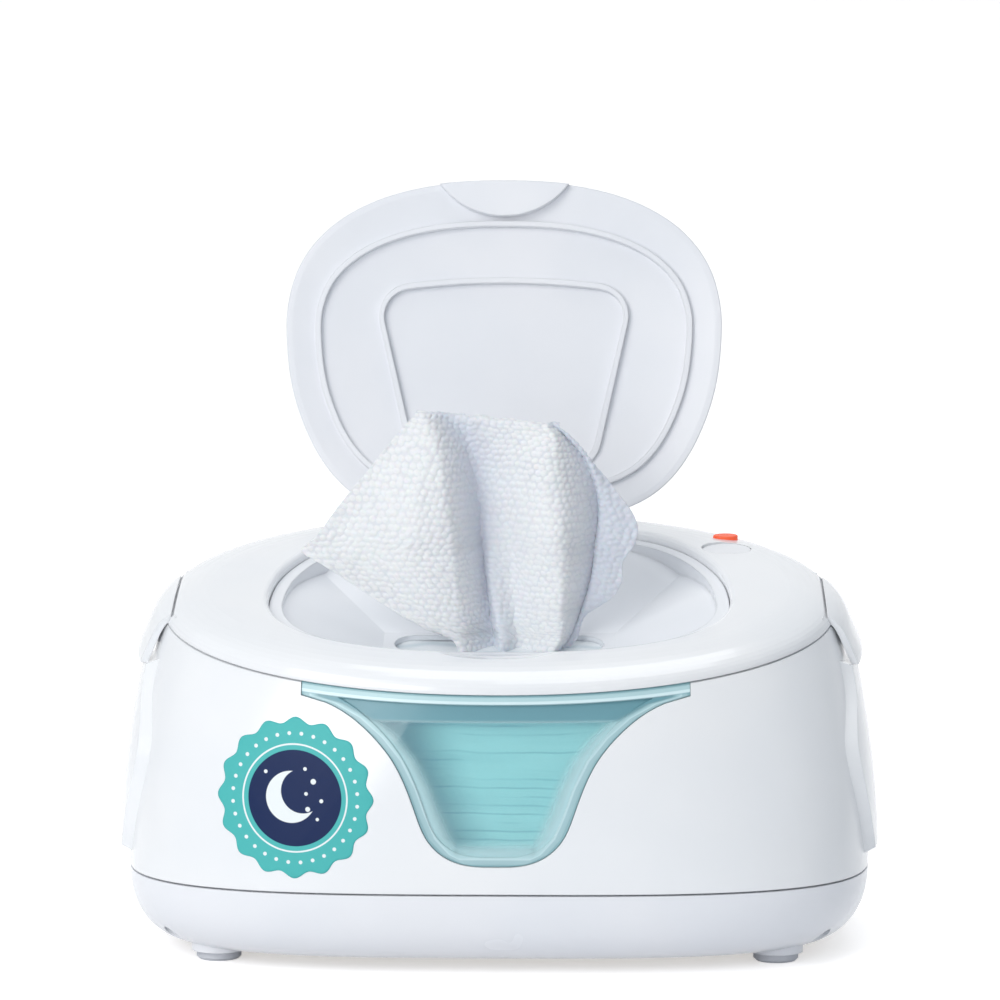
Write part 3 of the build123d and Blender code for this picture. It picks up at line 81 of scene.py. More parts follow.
# %% [markdown]
# A material is a net of nodes, and wiring a net by hand is slow to write and hard to read. This
# small class wraps one output of a node, so that sums can be written as sums: rough + 0.1 * spots
# adds the two Math nodes that it needs. Every other node comes from one method, which is given
# the kind of node, its settings, and what goes into its sockets.

# %% A class that writes shader maths
class Flow:
    """One number, colour or direction on its way through a material."""

    def __init__(self, tree, socket=None):
        self.tree = tree
        self.socket = socket

    def node(self, kind, settings=(), inputs=(), output=0):
        """Adds a node: settings first, then the value or link of each socket."""
        made = self.tree.nodes.new("ShaderNode" + kind)
        for name, value in dict(settings).items():
            if name == "stops":
                ramp = made.color_ramp.elements
                while len(ramp) < len(value):
                    ramp.new(0.5)
                for stop, (place, colour) in zip(ramp, value):
                    stop.position = place
                    stop.color = colour
            else:
                setattr(made, name, value)
        for name, value in dict(inputs).items():
            if isinstance(value, Flow):
                self.tree.links.new(value.socket, made.inputs[name])
            else:
                made.inputs[name].default_value = value
        return Flow(self.tree, made.outputs[output])

    def maths(self, operation, *others):
        """A Math node with this value first."""
        return self.node("Math", {"operation": operation}, dict(enumerate((self, *others))))

    def __add__(self, other):
        return self.maths("ADD", other)

    def __sub__(self, other):
        return self.maths("SUBTRACT", other)

    def __rsub__(self, other):
        return self.node("Math", {"operation": "SUBTRACT"}, {0: other, 1: self})

    def __mul__(self, other):
        return self.maths("MULTIPLY", other)

    def __truediv__(self, other):
        return self.maths("DIVIDE", other)

    def __lt__(self, other):
        return self.maths("LESS_THAN", other)

    def __gt__(self, other):
        return self.maths("GREATER_THAN", other)

    __radd__ = __add__
    __rmul__ = __mul__

    def ramp(self, low, high):
        """0 at low, 1 at high, with an eased step in between."""
        return self.node("MapRange", {"interpolation_type": "SMOOTHSTEP"},
                         {"Value": self, "From Min": low, "From Max": high})

    def tint(self, start, end):
        """Colour that passes from start to end as this value goes from 0 to 1."""
        return self.node("Mix", {"data_type": "RGBA"}, {0: self, 6: start, 7: end}, 2)

    def through(self, stops):
        """Colour of a ramp whose stops are pairs of a place from 0 to 1 and a colour."""
        return self.node("ValToRGB", {"stops": stops}, {"Fac": self})

    def stretch(self, *factors):
        """A direction or place, multiplied axis by axis."""
        return self.node("VectorMath", {"operation": "MULTIPLY"}, {0: self, 1: factors})

    def axis(self, name):
        """One coordinate of a place."""
        return self.node("SeparateXYZ", (), {0: self}, name)

    def clouds(self, size, detail=2.0):
        """Soft noise around 0.5, with lumps of about that size."""
        return self.node("TexNoise", (), {"Vector": self, "Scale": 1 / size, "Detail": detail})

    def cells(self, size):
        """Distance to the nearest of many scattered points, about that size apart."""
        return self.node("TexVoronoi", {"feature": "F1"}, {"Vector": self, "Scale": 1 / size},
                         "Distance")


def material(name, paint, **constants):
    """New material. The constants sit on the shader itself, and paint returns what varies."""
    made = bpy.data.materials.new(name)
    made.use_nodes = True
    tree = made.node_tree
    shader = tree.nodes["Principled BSDF"]
    for socket, value in constants.items():
        shader.inputs[socket.replace("_", " ")].default_value = value
    place = Flow(tree).node("TexCoord", output="Object")
    for socket, flow in paint(place).items():
        tree.links.new(flow.socket, shader.inputs[socket])
    return made


print("shader steps:", [step for step in vars(Flow) if not step.startswith("_")])

# %% [markdown]
# Most of the warmer is injection-moulded ABS, white and glossy. A flat white would look like
# paper, so the finish has three small truths of moulded plastic: the gloss drifts a little over
# a few centimetres, the skin has a faint ripple, and every corner has a small radius. That radius
# is too fine to model on each edge of a CAD part, so the Bevel node rounds the light across it.

# %% Moulded plastics
def moulded(name, light, shade, roughness, corner=0.5 * MM, ripple=0.02 * MM, **constants):
    """Opaque moulded plastic whose colour drifts between two close tones."""
    def paint(place):
        drift = place.clouds(60 * MM).ramp(0.35, 0.65)
        fine = place.clouds(2.5 * MM, 3.0)
        rounded = place.node("Bevel", {"samples": 4}, {"Radius": corner})
        skin = place.node("Bump", (), {"Strength": 0.35, "Distance": ripple,
                                       "Height": fine, "Normal": rounded})
        return {"Base Color": drift.tint(light, shade),
                "Roughness": roughness - 0.03 + 0.06 * place.clouds(25 * MM),
                "Normal": skin}
    return material(name, paint, **constants)


shell_white = moulded("shell_gloss_white", painted(244, 245, 247), painted(240, 242, 245), 0.20,
                      IOR=1.5, Coat_Weight=0.25, Coat_Roughness=0.08)
cover_white = moulded("cover_gloss_white", painted(243, 244, 246), painted(239, 241, 244), 0.16,
                      IOR=1.5, Coat_Weight=0.35, Coat_Roughness=0.06)
lid_white = moulded("lid_satin_white", painted(238, 239, 243), painted(233, 235, 240), 0.36,
                    corner=0.9 * MM, IOR=1.5)
tray_white = moulded("tray_satin_white", painted(238, 240, 244), painted(234, 237, 241), 0.24,
                     corner=0.9 * MM, IOR=1.5, Coat_Weight=0.2, Coat_Roughness=0.15)
pan_white = moulded("pan_gloss_white", painted(240, 241, 245), painted(236, 238, 243), 0.26,
                    IOR=1.5, Coat_Weight=0.15, Coat_Roughness=0.12)
button_white = moulded("button_gloss_white", painted(240, 241, 244), painted(234, 236, 240), 0.2,
                       corner=0.3 * MM, IOR=1.5)
socket_black = moulded("socket_black", painted(34, 34, 37), painted(26, 26, 29), 0.42,
                       corner=0.2 * MM)
print("plastics:", [m.name for m in bpy.data.materials])

# %% [markdown]
# The window in the front is bell-shaped, and several of its finishes follow that outline. Its mesh
# could carry a painted mask, but a mask has to be painted again when the shape changes. A ramp of
# a few stops holds the half width at each height instead, and the distance to it is plain sums.

# %% Where a place lies in the window
# The outline as (height, half width) in mm.
WINDOW_SIDE = [(37.9, 6.0), (38.8, 11.5), (41.9, 17.9), (47.0, 22.6), (54.8, 26.0), (63.5, 29.2),
               (72.5, 33.8), (80.0, 40.0), (86.3, 47.5), (90.6, 56.0), (92.6, 64.4)]
WINDOW_LOW, WINDOW_HIGH, WINDOW_HALF = 37.8 * MM, 107.8 * MM, 64.4 * MM
SIDE_LEAN = 0.85


def inside_window(place):
    """Distance in from the outline of the window, in metres. The sides lean, so it is shorter."""
    span = WINDOW_HIGH - WINDOW_LOW
    up = (place.axis("Z") - WINDOW_LOW) / span
    half = up.through([((z * MM - WINDOW_LOW) / span, (x * MM / WINDOW_HALF,) * 3 + (1,))
                       for z, x in WINDOW_SIDE])
    aside = (half * WINDOW_HALF - place.axis("X").maths("ABSOLUTE")) * SIDE_LEAN
    return aside.maths("MINIMUM", place.axis("Z") - WINDOW_LOW)


def below_cover(place):
    """Distance down from the joint of the cover, along the slope's own upright."""
    return place.axis("Y") * math.sin(TILT) - (place.axis("Z") - RIM_Z) * math.cos(TILT)


print("window outline:", len(WINDOW_SIDE), "stops, up to", WINDOW_SIDE[-1][1], "mm each side")

# %% [markdown]
# The window is tinted polycarbonate. Glass-like transmission lets the lit inside show through with
# the tint of the plastic, which plain transparency can't do. Towards its edge such a moulding
# turns pale in bands, where light gathers as it curves in; this light is painted: the clear shader
# is mixed with an opaque one that has pale colours and a faint glow of its own. Two ramps give its
# colour by the distance from the outline and from the cover, and a painted dark brow stands for the
# shade on the strip of shell behind the top of the window.

# %% Clear plastic of the window
# Bands from the outline inwards and from the cover downwards: a distance in mm and a colour. The
# pale bands are painted glow and highlight; the dark band furthest from the cover is painted shade.
SIDE_BANDS = [(0.0, 138, 174, 181), (0.7, 138, 174, 181), (1.0, 156, 188, 194),
              (2.2, 162, 193, 199), (2.5, 186, 212, 217), (2.8, 186, 212, 217),
              (3.2, 172, 204, 209), (10.0, 196, 222, 226)]
TOP_BANDS = [(0.0, 138, 176, 183), (0.6, 138, 176, 183), (1.0, 178, 208, 213),
             (1.9, 178, 208, 213), (2.1, 212, 233, 237), (2.7, 212, 233, 237),
             (3.1, 120, 164, 174), (10.0, 120, 164, 174)]
BAND_REACH = 10 * MM
BROW_LEVEL, BROW_BLUR, BROW_SHADE_BLUE = 85.3 * MM, 0.8 * MM, painted(104, 152, 164)
MOST_PALE, MOST_BROW = 0.94, 0.86


def banded(distance, rows):
    """Colour of the band that lies at a distance."""
    stops = [(reach * MM / BAND_REACH, painted(*colour)) for reach, *colour in rows]
    return (distance / BAND_REACH).through(stops)


def clear_and_pale(name, clear_colour):
    """Tinted clear plastic with a painted pale glow towards its outline and top, and a painted shade
    brow.
    """
    made = bpy.data.materials.new(name)
    made.use_nodes = True
    tree = made.node_tree
    clear = tree.nodes["Principled BSDF"]
    place = Flow(tree).node("TexCoord", output="Object")
    drift = place.clouds(40 * MM)
    rounded = place.node("Bevel", {"samples": 4}, {"Radius": 0.6 * MM})
    inside, down = inside_window(place), below_cover(place)

    crown = 1.0 - down.ramp(2.8 * MM, 3.4 * MM)
    # Painted shade: a dark brow over the strip of shell behind the top of the window.
    brow = place.axis("Z").ramp(BROW_LEVEL - BROW_BLUR, BROW_LEVEL + BROW_BLUR)
    brow = brow * inside.ramp(2.5 * MM, 6.5 * MM) * (1.0 - crown)
    band = crown.tint(banded(inside, SIDE_BANDS), banded(down, TOP_BANDS))
    band = brow.tint(band, BROW_SHADE_BLUE)
    pale = place.node("BsdfPrincipled", (), {
        "Base Color": band, "Roughness": 0.25 + 0.1 * drift, "Normal": rounded, "IOR": 1.45,
        "Emission Color": band, "Emission Strength": 0.16})

    clear.inputs["IOR"].default_value = 1.38
    clear.inputs["Transmission Weight"].default_value = 0.92
    for socket, flow in (("Base Color", drift.tint(clear_colour, painted(196, 232, 236))),
                         ("Roughness", 0.04 + 0.05 * drift), ("Normal", rounded)):
        tree.links.new(flow.socket, clear.inputs[socket])

    # The pale part fades out sooner on the left, where the inside is in shade.
    fade = 1.0 - inside.ramp(3.0 * MM, 9.5 * MM)
    fade = fade * (fade + (1.0 - fade) * (0.1 + 0.4 * place.axis("X").ramp(-25 * MM, 10 * MM)))
    share = (MOST_PALE * fade).maths("MAXIMUM", MOST_PALE * crown)
    share = share.maths("MAXIMUM", MOST_BROW * brow)
    mixed = place.node("MixShader", (), {0: share, 1: Flow(tree, clear.outputs[0]), 2: pale})
    tree.links.new(mixed.socket, tree.nodes["Material Output"].inputs["Surface"])
    return made


window_tint = clear_and_pale("window_aqua", painted(206, 238, 240))
print("window:", len(window_tint.node_tree.nodes), "nodes")

# %% [markdown]
# Behind the window sits a frosted pane in the wall of the tub. The night lights beside it make it
# glow, and the folded wipes that lean on it draw fine dark lines across the glow, closer together
# towards the bottom. Real lamps behind real frosting would need many samples before the picture
# is clean, so the pane gives off a little light of its own, in the same colours.

# %% Frosted pane that glows
PANE_LIGHT, PANE_LINE = painted(156, 186, 187), painted(92, 136, 148)
PANE_RIM_GLOW, PANE_LEFT_SHADE = painted(184, 206, 208), painted(52, 88, 106)
LINE_PITCH = 2.9 * MM


def glowing(place):
    """Glow from the night lights, crossed by the shadows of the folded wipes."""
    wobble = place.stretch(1, 1, 0.5).clouds(34 * MM)
    lines = (place.axis("Z") / LINE_PITCH + 1.6 * wobble).maths("FRACT")
    thin = 1.0 - (lines - 0.5).maths("ABSOLUTE").ramp(0.02, 0.16)
    uneven = place.stretch(0.22, 1, 2.2).clouds(9 * MM).ramp(0.38, 0.62)
    broad = place.stretch(0.12, 1, 1.0).clouds(6 * MM).ramp(0.3, 0.75)
    low = 1.0 - place.axis("Z").ramp(74 * MM, 96 * MM)
    dark = (thin * uneven * (0.3 + 0.5 * low) + 0.3 * broad).maths("MINIMUM", 1.0)
    # Painted shade: a darker top band and a darker left side. Painted glow: a brighter rim.
    shade = place.axis("Z").ramp(81 * MM, 84 * MM) * 0.5
    left = 1.0 - (place.axis("X") + place.axis("Z") * 0.35).ramp(-6 * MM, 18 * MM)
    depth = (0.7 * dark + shade + 0.3 * left).maths("MINIMUM", 1.0)
    rim = 1.0 - inside_window(place).ramp(3 * MM, 9 * MM)
    core = (0.9 * left).tint(depth.tint(PANE_LIGHT, PANE_LINE), PANE_LEFT_SHADE)
    glow = (0.6 * rim * (1.0 - 0.7 * left)).tint(core, PANE_RIM_GLOW)
    return {"Base Color": glow, "Roughness": 0.4 + 0.1 * place.clouds(8 * MM),
            "Emission Color": glow}


tub_pane = material("tub_pane_frosted", glowing, IOR=1.4, Emission_Strength=0.85)
print("pane: a line every", round(LINE_PITCH * 1000, 1), "mm")

# %% [markdown]
# The tub is milky plastic that passes some light on, so a little subsurface scattering suits it
# better than a hard white. Its front wall lies in the shade behind the window, so it gets painted
# shade and a faint painted glow.
# The indicator is a clear red-orange lens over a lamp, bright enough with a faint glow of its own.
# Feet and seal are soft rubber, which is matt and slightly grainy.

# %% Tub, indicator and rubber
def milky(place):
    """Pale green-white at the bottom, whiter towards the rim, painted shade and glow on the front
    wall.
    """
    depth = place.axis("Z").ramp(30 * MM, 110 * MM)
    front = 1.0 - place.axis("Y").ramp(-70 * MM, -55 * MM)
    plain = depth.tint(painted(196, 226, 228), painted(226, 236, 240))
    # Painted shade darkens the front wall, and a faint painted glow lifts it.
    return {"Base Color": front.tint(plain, painted(78, 124, 138)),
            "Emission Color": front.tint((0, 0, 0, 1), painted(36, 62, 72)),
            "Roughness": 0.42 + 0.1 * place.clouds(12 * MM),
            "Normal": place.node("Bevel", {"samples": 4}, {"Radius": 0.8 * MM})}


tub_white = material("tub_milky_white", milky, IOR=1.48, Subsurface_Weight=0.1,
                     Subsurface_Scale=0.004, Emission_Strength=0.5)


def lamp_orange(place):
    """Red-orange lens, a little uneven where the lamp shines through."""
    drift = place.clouds(3 * MM)
    return {"Base Color": drift.tint(painted(238, 96, 52), painted(226, 74, 40)),
            "Roughness": 0.18 + 0.08 * drift,
            "Emission Color": drift.tint(painted(255, 120, 70), painted(240, 84, 44))}


indicator_orange = material("indicator_orange", lamp_orange, IOR=1.5, Emission_Strength=0.25)


def rubbery(name, light, shade, roughness, **constants):
    """Soft moulded rubber or silicone with a fine matt skin."""
    def paint(place):
        speckle = place.clouds(0.5 * MM, 4.0)
        return {"Base Color": place.clouds(10 * MM).tint(light, shade),
                "Roughness": roughness + 0.12 * speckle,
                "Normal": place.node("Bump", (), {"Strength": 0.5, "Distance": 0.05 * MM,
                                                  "Height": speckle})}
    return material(name, paint, **constants)


foot_rubber = rubbery("foot_rubber", painted(214, 216, 222), painted(200, 203, 210), 0.62)
seal_silicone = rubbery("seal_silicone", painted(222, 230, 232), painted(206, 216, 220), 0.5)
print("soft finishes:", [m.name for m in (tub_white, indicator_orange, foot_rubber, seal_silicone)])

# %% [markdown]
# Inside are metals, foam and circuit boards. They hardly show, but the lid and the cover open, so
# each gets the finish that tells what it is. A metal is known by its grain: turned pins have fine
# rings, a heater plate is rolled sheet with straight lines. Both are noise drawn out along an axis.

# %% Metals
def metal(name, colour, shade, roughness, grain):
    """Metal with scratches drawn out along one axis; grain stretches the pattern."""
    def paint(place):
        lines = place.stretch(*grain).clouds(1.0, 3.0)
        return {"Base Color": lines.tint(colour, shade),
                "Roughness": roughness - 0.08 + 0.16 * lines,
                "Normal": place.node("Bump", (), {"Strength": 0.3, "Distance": 0.01 * MM,
                                                  "Height": lines})}
    return material(name, paint, Metallic=1.0)


pin_steel = metal("pin_steel", painted(198, 200, 204), painted(166, 169, 174), 0.3,
                  (300, 4000, 4000))
screw_steel = metal("screw_zinc", painted(188, 190, 192), painted(150, 152, 156), 0.34,
                    (2500, 2500, 900))
plate_alloy = metal("heater_alloy", painted(206, 209, 213), painted(184, 187, 192), 0.38,
                    (60, 3000, 3000))
can_metal = metal("sensor_can", painted(200, 198, 190), painted(170, 168, 160), 0.35,
                  (1500, 1500, 300))
print("metals:", [m.name for m in (pin_steel, screw_steel, plate_alloy, can_metal)])

# %% [markdown]
# The heater is a film with a wavy printed track, a foam pad keeps its warmth in, and two small
# circuit boards run it. Tracks and lamps repeat at an even pitch, and an image of them would need
# its own mapping. The fraction left over when a place is divided by the pitch draws them as well.

# %% Heating film, foam and circuit boards
WAVE_LENGTH, WAVE_SIZE, TRACK_PITCH = 16 * MM, 1.2 * MM, 6 * MM


def printed_film(place):
    """Amber film with a wavy heating track under it."""
    wave = (place.axis("X") * (2 * math.pi / WAVE_LENGTH)).maths("SINE")
    track = (place.axis("Y") + wave * WAVE_SIZE) / TRACK_PITCH
    line = (track.maths("FRACT") - 0.5).maths("ABSOLUTE") < 0.16
    return {"Base Color": line.tint(painted(196, 122, 30), painted(120, 66, 20)),
            "Roughness": 0.3 + 0.15 * place.clouds(6 * MM),
            "Normal": place.node("Bump", (), {"Strength": 0.4, "Distance": 0.05 * MM, "Height": line})}


def foam(place):
    """Open pores, with painted shade in their middle."""
    pores = place.cells(1.1 * MM)
    return {"Base Color": pores.tint(painted(150, 152, 156), painted(204, 206, 208)),
            "Roughness": 0.9 - 0.1 * pores,
            "Normal": place.node("Bump", (), {"Strength": 0.8, "Distance": 0.3 * MM,
                                              "Height": pores})}


COPPER_PITCH = 2.2 * MM


def circuit(height):
    """Green board below a height, with its copper tracks, and dark components above it."""
    def paint(place):
        part = place.axis("Z") > height
        tracks = (place.axis("X") / COPPER_PITCH).maths("FRACT") < 0.3
        board = tracks.tint(painted(24, 92, 54), painted(46, 128, 78))
        body = place.clouds(12 * MM).ramp(0.4, 0.6).tint(painted(40, 42, 46), painted(88, 92, 100))
        return {"Base Color": part.tint(board, body), "Roughness": 0.35 + 0.2 * part}
    return paint


heating_film = material("heating_film", printed_film)
pad_foam = material("insulation_foam", foam)
board_green = material("control_circuit", circuit(13.7 * MM))
switch_green = material("switch_circuit", circuit(122.5 * MM))
LAMP_PITCH, FIRST_LAMP = 10 * MM, 60 * MM


def small_lamps(place):
    """White strip; the lamps on it shine where they stand proud of the board."""
    lamp = ((place.axis("Z") - FIRST_LAMP) / LAMP_PITCH + 0.5).maths("FRACT")
    lamp = (lamp - 0.5).maths("ABSOLUTE") < 0.16
    return {"Base Color": lamp.tint(painted(232, 234, 236), painted(250, 248, 226)),
            "Roughness": 0.45 - 0.2 * lamp,
            "Emission Color": lamp.tint((0, 0, 0, 1), painted(226, 248, 250))}


lamp_strip = material("night_lamps", small_lamps, Emission_Strength=1.2)
inner = (heating_film, pad_foam, board_green, switch_green, lamp_strip)
print("inner finishes:", [m.name for m in inner])

# %% [markdown]
# Each CAD piece already has its shape and its place, so dressing it means putting one finish in
# its material slot. A table of piece and finish says at a glance what is made of what, and the
# last line tells which pieces are left for the soft goods further down.

# %% Give every CAD piece its finish
FINISHES = {
    "base_pan": pan_white, "body_shell": shell_white, "top_cover": cover_white,
    "latch_left": cover_white, "latch_right": cover_white, "flip_lid": lid_white,
    "dispenser_tray": tray_white, "light_button": button_white, "indicator_lens": indicator_orange,
    "window_lens": window_tint, "tub_window": tub_pane, "wipe_tub": tub_white,
    "rubber_feet": foot_rubber, "cover_seal": seal_silicone, "dc_jack": socket_black,
    "cover_hinge_pins": pin_steel, "latch_pins": pin_steel, "lid_hinge_pin": pin_steel,
    "base_screws": screw_steel, "board_screws": screw_steel, "heater_plate": plate_alloy,
    "thermostat": can_metal, "thermal_fuse": can_metal, "heating_element": heating_film,
    "insulation_pad": pad_foam, "control_board": board_green, "switch_board": switch_green,
    "night_lights": lamp_strip,
}
for name, finish in FINISHES.items():
    mesh = nodes[name].data
    mesh.materials.clear()
    mesh.materials.append(finish)
print("without a finish yet:", sorted(set(nodes) - set(FINISHES)))

# %% [markdown]
# The wipes are the soft part. One stands pulled through the slot, and the rest lie folded in the
# tub. A cloth simulation would crumple the pulled one in a way that can't be steered, and its
# folds make the picture, so it is drawn as a grid of points instead. Four helpers come first. They
# turn points and faces into an object, join neighbouring rows of a grid, make what the modifiers
# show permanent, and draw a smooth curve through a handful of keys.

# %% Helpers for grids of points
def mesh_piece(name, points, faces, finish, uv=None):
    """New object from points and faces, smooth, with one finish."""
    mesh = bpy.data.meshes.new(name)
    mesh.from_pydata([tuple(p) for p in points], [], faces)
    if uv:
        layer = mesh.uv_layers.new(name="flat")
        for loop in mesh.loops:
            layer.data[loop.index].uv = uv[loop.vertex_index]
    mesh.polygons.foreach_set("use_smooth", [True] * len(mesh.polygons))
    mesh.materials.append(finish)
    made = bpy.data.objects.new(name, mesh)
    bpy.context.scene.collection.objects.link(made)
    return made


def grid_faces(rows, columns, closed=False):
    """Four-sided faces between neighbouring rows; closed joins the last column to the first."""
    span = columns if closed else columns - 1
    return [(r * columns + c, r * columns + (c + 1) % columns,
             (r + 1) * columns + (c + 1) % columns, (r + 1) * columns + c)
            for r in range(rows - 1) for c in range(span)]


def apply_modifiers(piece):
    """Replaces the mesh by what its modifiers make of it."""
    graph = bpy.context.evaluated_depsgraph_get()
    baked = bpy.data.meshes.new_from_object(piece.evaluated_get(graph))
    piece.modifiers.clear()
    piece.data = baked


def curve_through(keys, at):
    """Smooth value at a place on a curve given by (place, value) keys."""
    if at <= keys[0][0]:
        return keys[0][1]
    for index in range(len(keys) - 1):
        (x0, y0), (x1, y1) = keys[index], keys[index + 1]
        if at <= x1:
            before = keys[index - 1] if index else (2 * x0 - x1, y0)
            after = keys[index + 2] if index + 2 < len(keys) else (2 * x1 - x0, y1)
            slope0 = (y1 - before[1]) / (x1 - before[0])
            slope1 = (after[1] - y0) / (after[0] - x0)
            t, span = (at - x0) / (x1 - x0), x1 - x0
            return ((2 * t ** 3 - 3 * t ** 2 + 1) * y0 + (t ** 3 - 2 * t ** 2 + t) * span * slope0
                    + (3 * t ** 2 - 2 * t ** 3) * y1 + (t ** 3 - t ** 2) * span * slope1)
    return keys[-1][1]


print("curve check:", round(curve_through([(0, 0), (1, 1), (2, 0)], 0.5), 3))

# %% [markdown]
# Wipes are nonwoven cloth: short fibres pressed together, embossed with rows of small pebbles. A
# bump in the material would shade the pebbles, but their outline stays flat at the edge of a fold,
# so they are raised in the mesh further down. The mesh also keeps, at each point, how high its
# pebble is and how much painted shade its fold gets, and the material reads both: the tops are
# lighter and a little glossy, the ground between them gets painted shade, and the folds where the
# cloth lies double get a cooler painted shade.

# %% The cloth of the wipes
def nonwoven(place):
    """Soft fibres over pebbles, with painted shade between the pebbles and in the folds."""
    fibres = place.stretch(1, 1, 0.3).clouds(0.35 * MM, 4.0)
    patches = place.clouds(14 * MM).ramp(0.3, 0.7)
    pebble = place.node("Attribute", {"attribute_name": "pebble"}, output="Fac").ramp(0.0, 0.6)
    damp = place.node("Attribute", {"attribute_name": "damp"}, output="Fac")
    # Painted shade on the ground between the pebbles, mixed with the fibres' own tone.
    ground_shade_and_fibres = (0.4 * (1.0 - pebble) + 0.3 * fibres) * (0.5 + 0.5 * patches)
    pebbled_cloth = ground_shade_and_fibres.tint(painted(242, 242, 243), painted(208, 212, 220))
    return {"Base Color": damp.tint(pebbled_cloth, painted(213, 219, 229)),
            "Roughness": 0.74 - 0.2 * pebble + 0.12 * fibres,
            "Normal": place.node("Bump", (), {"Strength": 0.5, "Distance": 0.08 * MM,
                                              "Height": fibres})}


wipe_cloth = material("wipe_nonwoven", nonwoven, IOR=1.4, Sheen_Weight=0.15, Sheen_Roughness=0.5,
                      Subsurface_Weight=0.12, Subsurface_Scale=0.003)
print("cloth:", wipe_cloth.name)

# %% [markdown]
# The pulled wipe hangs from nine lines that run up the cloth: its two edges, the ridges that stand
# forward, the folds that lie deep, and the edge of a leaf at the right that curls over the far
# panel. A sheet could be pushed about by hand in sculpt mode, but a table of lines can be corrected
# one number at a time. Each line is a list of keys, and a smooth curve fills in between them.

# %% Lines that shape the pulled wipe
# Each line is a list of (height, place across) in mm.
EDGE_LEFT = [(97, -14), (102.5, -15), (105, -18.5), (107.5, -25.5), (114, -36.5), (122, -49),
             (130, -61.5), (134, -68), (139, -63), (150, -55), (161, -46), (171, -38), (178, -32),
             (183, -27)]
RIDGE_LEFT = [(97, -12), (104, -13), (120, -15), (142, -17.5), (165, -20.5), (178, -23.5),
              (183, -26)]
FOLD_LEFT = [(97, -2), (104, -2), (120, -4.5), (142, -7), (165, -10), (178, -15.5), (183, -20)]
CREASE = [(97, 0.5), (104, 0.8), (120, -2.5), (142, -3.5), (165, -5), (178, -9), (183, -14)]
HOLLOW = [(97, 6), (104, 7), (120, 5), (142, 3), (165, 0), (178, -3), (183, -6)]
RIDGE_RIGHT = [(97, 17), (104, 20.5), (120, 21), (142, 20.5), (165, 18.5), (178, 18.5), (183, 15)]
FOLD_RIGHT = [(97, 19), (104, 23.5), (110, 26.5), (120, 30), (132, 32.5), (150, 33.5),
              (164, 30.5), (172, 26), (178, 21.5), (183, 17)]
ARC_EDGE = [(height, x + 1.3) for height, x in FOLD_RIGHT]
EDGE_FAR = [(97, 22), (104, 27), (111, 29), (117, 38), (123, 42), (130, 42.5), (137, 47),
            (145, 46.7), (155, 40), (165, 32.5), (173, 26.5), (178, 23), (183, 19)]
LINES = [EDGE_LEFT, RIDGE_LEFT, FOLD_LEFT, CREASE, HOLLOW, RIDGE_RIGHT, FOLD_RIGHT, ARC_EDGE,
         EDGE_FAR]
LINES_TOP, LEAST_GAP = 183.0, 0.6


def lines_at(height):
    """Where the lines cross a height, from left to right, never closer than the least gap."""
    across = [curve_through(line, height) for line in LINES]
    for index in range(1, len(across)):
        across[index] = max(across[index], across[index - 1] + LEAST_GAP)
    return across


print("lines half way up stand at", [round(x, 1) for x in lines_at(142)], "mm")

# %% [markdown]
# Seen from above, the cloth is a zigzag: each line also has a depth, and the cloth runs smoothly
# from one to the next. The left panel is the exception. It is stretched flat, so the left edge gets
# its depth from the left ridge. A little smooth noise keeps the panels from looking like paper.

# %% Depth of the folds
# Depth of each line but the left edge, in mm: at the slot, half way up, and at the top. Less is
# nearer the front.
DEPTHS = [(-17.4, -22.5, -17.5), (-8.0, -3.5, -12.5), (-13.5, -5.5, -11.5), (-9.0, -7.5, -12.5),
          (-17.0, -20.0, -15.5), (-9.5, -3.5, -11.5), (-9.0, -7.5, -12.0), (-8.5, -6.0, -12.0)]
PANEL_SLOPE = 0.21
SLOT_HEIGHT = 104.0
ROLL_HEIGHT, ROLL_SIZE = 109.0, 3.5


def depth_at(rise, slot, middle, top):
    """Depth of one line: a parabola through its three values, and level below the slot."""
    if rise <= 0:
        return slot
    return (slot * (1 - rise) * (1 - 2 * rise) + middle * 4 * rise * (1 - rise)
            + top * rise * (2 * rise - 1))


def wipe_place(share, height):
    """Place of the cloth's middle surface, in mm, at a share of its width and a height."""
    across = lines_at(height)
    rise = (height - SLOT_HEIGHT) / (LINES_TOP - SLOT_HEIGHT)
    depth = [depth_at(rise, *row) for row in DEPTHS]
    depth.insert(0, depth[0] + PANEL_SLOPE * (across[1] - across[0]))
    x = across[0] + (across[-1] - across[0]) * share
    y = curve_through(list(zip(across, depth)), x)
    bulge = noise.noise(Vector((x * 0.05, height * 0.035, 2.0)))
    crumple = noise.noise(Vector((x * 0.16, height * 0.07, 7.0)))
    roll = math.exp(-((height - ROLL_HEIGHT) / ROLL_SIZE) ** 2) * max(0.0, 1 - share / 0.15)
    return Vector((x + 0.4 * crumple, y + 1.3 * bulge + 0.55 * crumple - 2.4 * roll,
                   height + 0.8 * roll))


print("corner at the slot:", tuple(round(v, 1) for v in wipe_place(0, SLOT_HEIGHT)), "mm")

# %% [markdown]
# Now the grid: rows from just below the slot up to the free top. The top falls a little to the
# right, because the cloth is held at its left ridge, and its rim bends back in a small curl,
# where a flat edge would show as a hard line.

# %% Rows of points up the wipe
COLUMNS, ROWS, CURL_ROWS = 280, 190, 7
LOW_END, HIGH_END = 97.0, 181.0
TOP_DROP, TOP_STARTS = 4.6, 0.6


def row_height(r):
    """Height of a row, in mm, before the top falls to the right."""
    return LOW_END + (HIGH_END - LOW_END) * r / (ROWS - 1)


